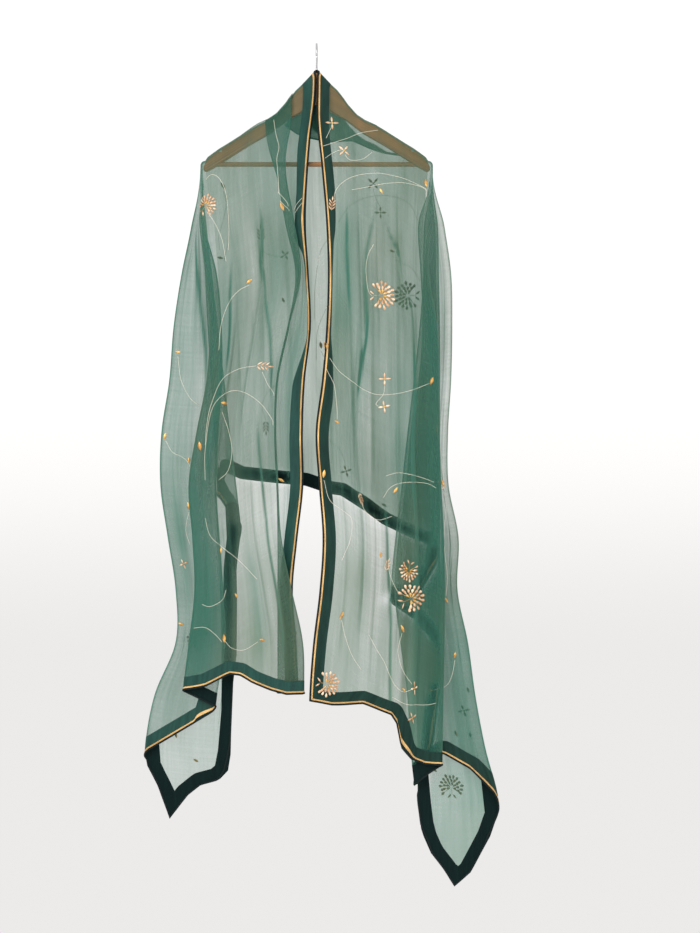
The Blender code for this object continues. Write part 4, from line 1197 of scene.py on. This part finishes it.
def roundedShape(fullest, blunt):  # a closed stitched pad: a sphere drawn out along x, then narrowed
    deselectAll()
    bpy.ops.mesh.primitive_uv_sphere_add(segments=8, ring_count=7, radius=0.5)
    ball = bpy.context.object
    bpy.ops.object.mode_set(mode="EDIT")
    bpy.ops.mesh.select_all(action="SELECT")
    bpy.ops.transform.rotate(value=math.pi / 2, orient_axis="Y", center_override=(0.0, 0.0, 0.0))
    bpy.ops.mesh.normals_make_consistent(inside=False)
    bpy.ops.object.mode_set(mode="OBJECT")
    verts = np.array([vertex.co[:] for vertex in ball.data.vertices])
    faces = [list(face.vertices) for face in ball.data.polygons]
    bpy.data.objects.remove(ball)
    radius = np.sqrt(np.maximum(0.25 - verts[:, 0] ** 2, 0.0))
    safe = np.maximum(radius, 1e-4)
    along = np.clip(verts[:, 0] + 0.5, 0.0, 1.0)
    bent = along ** (math.log(0.5) / math.log(fullest))
    width = 0.5 * np.sin(math.pi * bent) ** blunt
    aroundY, aroundZ = verts[:, 1] / safe, verts[:, 2] / safe
    side = np.where(radius < 1e-3, 0.45, 0.5 - 0.5 * aroundZ)
    shaped = np.stack([verts[:, 0], aroundY * width, aroundZ * width], axis=1)
    shaped[radius < 1e-3, 1:] = 0.0
    return {"verts": shaped, "faces": faces, "side": side}


def pointing(reach, angle, length, width):  # one shape of a motif, pointing away from its middle
    facing = math.radians(angle)
    return reach * math.cos(facing), reach * math.sin(facing), angle, length, width


class Sewing:  # lays flat shapes on one span of cloth, on its right side
    def __init__(self, span, depths):
        self.span = span
        self.onBack = span.span[0] < 0
        self.depths = depths
        self.batches = {"pearl": [], "zari": []}
        self.shapes = {"leaf": roundedShape(0.5, 1.15), "drop": roundedShape(0.68, 0.7)}

    def placeAt(self, layer, x, height):  # the place on a layer that is seen at x and height
        back, eyeX, eyeHeight = sewing["eyeBack"], sewing["eyeX"], sewing["eyeHeight"]
        trueHeight = eyeHeight + (height - eyeHeight) * (back + self.depths[layer]) / back
        if self.onBack:
            places = np.linspace(-sewing["backReach"], sewing["backReach"], 150)
        else:
            first, last = sewing["flatPart"]
            places = np.linspace(layer + (first if layer else 0.0), layer + last, 130)
        points = self.span.point(places, trueHeight)
        seen = eyeX + (points[:, 0] - eyeX) * back / (back + points[:, 1])
        order = np.argsort(seen)
        return float(np.interp(x, seen[order], places[order])), float(trueHeight)

    def onCloth(self, places, heights):  # points and right-side normals
        step = 0.4 if self.onBack else 0.003
        points = self.span.point(places, heights)
        across = self.span.point(places + step, heights) - self.span.point(places - step, heights)
        down = self.span.point(places, heights + 0.8) - self.span.point(places, heights - 0.8)
        return points, self.span.rightSide * unit(np.cross(across, down))

    def scaleAt(self, place, height):
        step = 0.4 if self.onBack else 0.004
        change = self.span.point(place + step, height) - self.span.point(place - step, height)
        rate = float(np.linalg.norm(change)) / (2 * step)
        return math.copysign(max(rate, 1e-3), float(change[0]))

    def lay(self, kind, shape, anchor, turn, elements):
        place, height = self.placeAt(*anchor)
        rate = self.scaleAt(place, height)
        turn = math.radians(turn)
        for offU, offV, angle, length, width in elements:
            verts = self.shapes[shape]["verts"]
            angle = math.radians(angle)
            alongU, acrossU = verts[:, 0] * length, verts[:, 1] * width
            u = offU + math.cos(angle) * alongU - math.sin(angle) * acrossU
            v = offV + math.sin(angle) * alongU + math.cos(angle) * acrossU
            turnedU = math.cos(turn) * u - math.sin(turn) * v
            turnedV = math.sin(turn) * u + math.cos(turn) * v
            points, normal = self.onCloth(place + turnedU / rate, height - turnedV)
            full = min(1.0, width / sewing["fullWidth"])
            lift = (sewing["lift"] * full + 0.1 + verts[:, 2] * (sewing["thick"] * full))[:, None]
            self.batches[kind].append((points + lift * normal, shape))

    def leaf(self, layer, x, height, turn, length):
        self.lay("zari", "leaf", (layer, x, height), turn + 90, [(0.0, 0.0, 0.0, length, 0.42 * length)])

    def sprig(self, layer, x, height, turn, size):  # leaves in pairs up a short stem
        elements = [
            (0.0, 1.0 * size, 90.0, 26.0 * size, sewing["stemWidth"]),
            (0.0, 17.5 * size, 90.0, 12.0 * size, 3.2 * size),
        ]
        elements += [
            (side * 4.0 * size, (along + 3.6) * size, 90.0 - side * 38.0, 11.0 * size, 3.2 * size)
            for along in (-7.0, 0.0, 7.0) for side in (-1.0, 1.0)
        ]
        self.lay("pearl", "leaf", (layer, x, height), turn, elements)

    def star(self, layer, x, height, turn, size):
        length, width = sewing["petalLength"] * size, sewing["petalWidth"] * size
        elements = [pointing(0.62 * length, angle, length, width) for angle in sewing["petals"]]
        self.lay("pearl", "leaf", (layer, x, height), turn, elements)
        self.lay("zari", "drop", (layer, x, height), turn, [(0.0, 0.0, 0.0, 4.2 * size, 3.6 * size)])

    def fan(self, layer, x, height, turn, size):
        anchor = (layer, x, height)
        for number, (reach, angles, length, width) in enumerate(sewing["rings"]):
            drops = []
            for count, away in enumerate(angles):
                uneven = 1.0 + 0.07 * math.sin(2.4 * count + number * 1.7)
                drops.append(pointing(
                    reach * size * uneven, 90.0 + away, length * size * uneven, width * size,
                ))
            self.lay("zari" if number == 0 else "pearl", "drop", anchor, turn, drops)
        stems = [
            pointing(11.0 * size, 90.0 + away, 21.0 * size, sewing["stemWidth"]) for away in sewing["stems"]
        ]
        stems.append((0.0, -9.0 * size, 90.0, 17.0 * size, sewing["stemWidth"]))
        self.lay("zari", "leaf", anchor, turn, stems)
        self.lay("pearl", "leaf", anchor, turn, [
            (5.5 * size, -19.5 * size, 310.0, 12.0 * size, 3.8 * size),
            (-5.5 * size, -19.0 * size, 230.0, 12.0 * size, 3.8 * size),
        ])

    def vine(self, layer, marks):  # one thread along a soft curve through its marks
        marks = np.array(marks, float)
        padded = np.concatenate([[2 * marks[0] - marks[1]], marks, [2 * marks[-1] - marks[-2]]])
        path = []
        for k in range(len(marks) - 1):
            before, here, after, beyond = padded[k : k + 4]
            count = max(3, int(np.linalg.norm(after - here) / 4.0))
            for t in np.arange(count) / count:
                path.append(0.5 * (
                    2 * here + (after - before) * t
                    + (2 * before - 5 * here + 4 * after - beyond) * t**2
                    + (3 * here - before - 3 * after + beyond) * t**3
                ))
        path.append(marks[-1])
        found = np.array([self.placeAt(layer, x, height) for x, height in path])
        points, normal = self.onCloth(found[:, 0], found[:, 1])
        return points + sewing["threadLift"] * normal, normal

    def finish(self, group, looks):
        for kind, batch in self.batches.items():
            verts, faces, sides, start = [], [], [], 0
            for points, shape in batch:
                verts.append(points)
                sides.append(self.shapes[shape]["side"])
                faces += [[start + corner for corner in face] for face in self.shapes[shape]["faces"]]
                start += len(points)
            if not verts:
                continue
            mesh = bpy.data.meshes.new(f"{kind}Stitches_{group}")
            mesh.from_pydata((np.concatenate(verts) * 0.001).tolist(), [], faces)
            side = mesh.attributes.new("side", "FLOAT", "POINT")
            side.data.foreach_set("value", np.concatenate(sides).astype(np.float32))
            keep(addObject(mesh, looks[kind]), group, "gold")


def sew(span, depths, group, table, looks):
    work = Sewing(span, depths)
    for layer, x, height, turn, length in table["leaves"]:
        work.leaf(layer, x, height, turn, length)
    for name, method in (("sprigs", work.sprig), ("stars", work.star), ("fans", work.fan)):
        for layer, x, height, turn, size in table[name]:
            method(layer, x, height, turn, size)
    work.finish(group, looks)
    verts, faces, uvs, start = [], [], [], 0
    for layer, marks in table["vines"]:
        path, normal = work.vine(layer, marks)
        made = cordMesh("thread", path, normal, sewing["threadRadius"], looks["thread"], 5)
        verts.append(made[0])
        faces += [tuple(start + corner for corner in face) for face in made[1]]
        uvs += made[2]
        start += len(made[0])
    threads = cordObject((np.concatenate(verts), faces, uvs, looks["thread"], f"vines_{group}"))
    keep(threads, group, "gold")
    print("embroidery on", group, "sewn")


hanger = {
    "wireRadius": 1.7, "innerRadius": 17.0, "stemEnd": 55.0, "knotWidth": 8.4, "knotHeight": 7.0,
    "knotDown": 50.5, "stem": ((0.0, -50.0), (0.0, -46.6), (0.5, -43.4), (2.4, -39.6), (6.8, -36.0)),
}


def makeHook(looks):  # a wire that rises from the wood, swings to the back and over the rail
    radius = hanger["innerRadius"] + hanger["wireRadius"]
    route = [(0.0, -hanger["stemEnd"]), *hanger["stem"]]
    for turned in range(138, -119, -6):
        angle = math.radians(turned)
        route.append((radius * math.sin(angle), radius * math.cos(angle) - hanger["innerRadius"]))
    path = np.array([(0.0, y, z) for y, z in route])
    side = np.broadcast_to(np.array([1.0, 0.0, 0.0]), path.shape)
    hook = cordObject(cordMesh("hook", path, side, hanger["wireRadius"], looks["steel"], 14))
    keep(hook, "hanger", "steel", "hanger_hook")


def makeKnot(looks):  # the piping gathered where the borders meet, round the wire
    deselectAll()
    bpy.ops.mesh.primitive_uv_sphere_add(segments=24, ring_count=12, radius=0.5)
    knot = bpy.context.object
    knot.name = "gatheredPiping"
    bpy.ops.object.mode_set(mode="EDIT")
    bpy.ops.mesh.select_all(action="SELECT")
    bpy.ops.transform.resize(value=(
        hanger["knotWidth"] * 0.001, hanger["knotWidth"] * 0.00115, hanger["knotHeight"] * 0.001,
    ))
    bpy.ops.transform.translate(value=(0.0, 0.0, -hanger["knotDown"] * 0.001))
    bpy.ops.object.mode_set(mode="OBJECT")
    for vertex in knot.data.vertices:  # a soft twist of three plies
        around = math.atan2(vertex.co.y, vertex.co.x)
        ply = 1.0 + 0.07 * math.sin(3.0 * around + 900.0 * vertex.co.z)
        vertex.co.x *= ply
        vertex.co.y *= ply
    bpy.ops.object.shade_smooth()
    knot.data.materials.append(looks["piping"])
    keep(knot, "hanger", "satin")


def makeHanger(looks):
    for name in ("hanger_shoulder", "hanger_bar"):
        for slot in frame["nodes"][name].material_slots:
            slot.material = looks["wood"]
    makeHook(looks)
    makeKnot(looks)
    print("hanger finished")


def makeStage(looks):
    deselectAll()
    bpy.ops.mesh.primitive_circle_add(
        vertices=96, radius=studio["floorRadius"], fill_type="NGON",
        location=(0.0, 0.0, studio["floorHeight"]),
    )
    floor = bpy.context.object
    floor.name = "floor"
    floor.data.materials.append(looks["floor"])


looks = {
    "organza": makeOrganza(),
    "satin": makeSatin("greenSatin", satinLook["deep"], satinLook["sheenLine"], 0.46, 0.16),
    "satinWrong": makeSatin("satinWrongSide", satinLook["wrongDeep"], satinLook["wrongPale"], 0.6, 0.06),
    "satinShade": makeSatin("shadedSatin", satinLook["shadeDeep"], satinLook["shadeLine"], 0.5, 0.12),
    "gold": makeGold(), "piping": makePiping(), "thread": makeThread(), "wood": makeWood(),
    "steel": makeSteel(), "floor": makeFloor(),
    "pearl": makeStitch("pearlStitch", stitchLook["pearl"], stitchLook["copper"], 0.25),
    "zari": makeStitch("goldStitch", stitchLook["gold"], stitchLook["bronze"], 0.45),
}
print("materials made")
setStudio()
makeStage(looks)
makeHanger(looks)
left, right = Stretch(leftStretch), Stretch(rightStretch)
back = Back(left, right, backSpan)
grounds = {
    "left": makeFront(left, back, "left", looks),
    "right": makeFront(right, back, "right", looks),
    "back": makeBack(back, looks),
}
sew(left, leftStretch["depths"], "left", leftStitches, looks)
sew(right, rightStretch["depths"], "right", rightStitches, looks)
sew(back, (30,), "back", backStitches, looks)
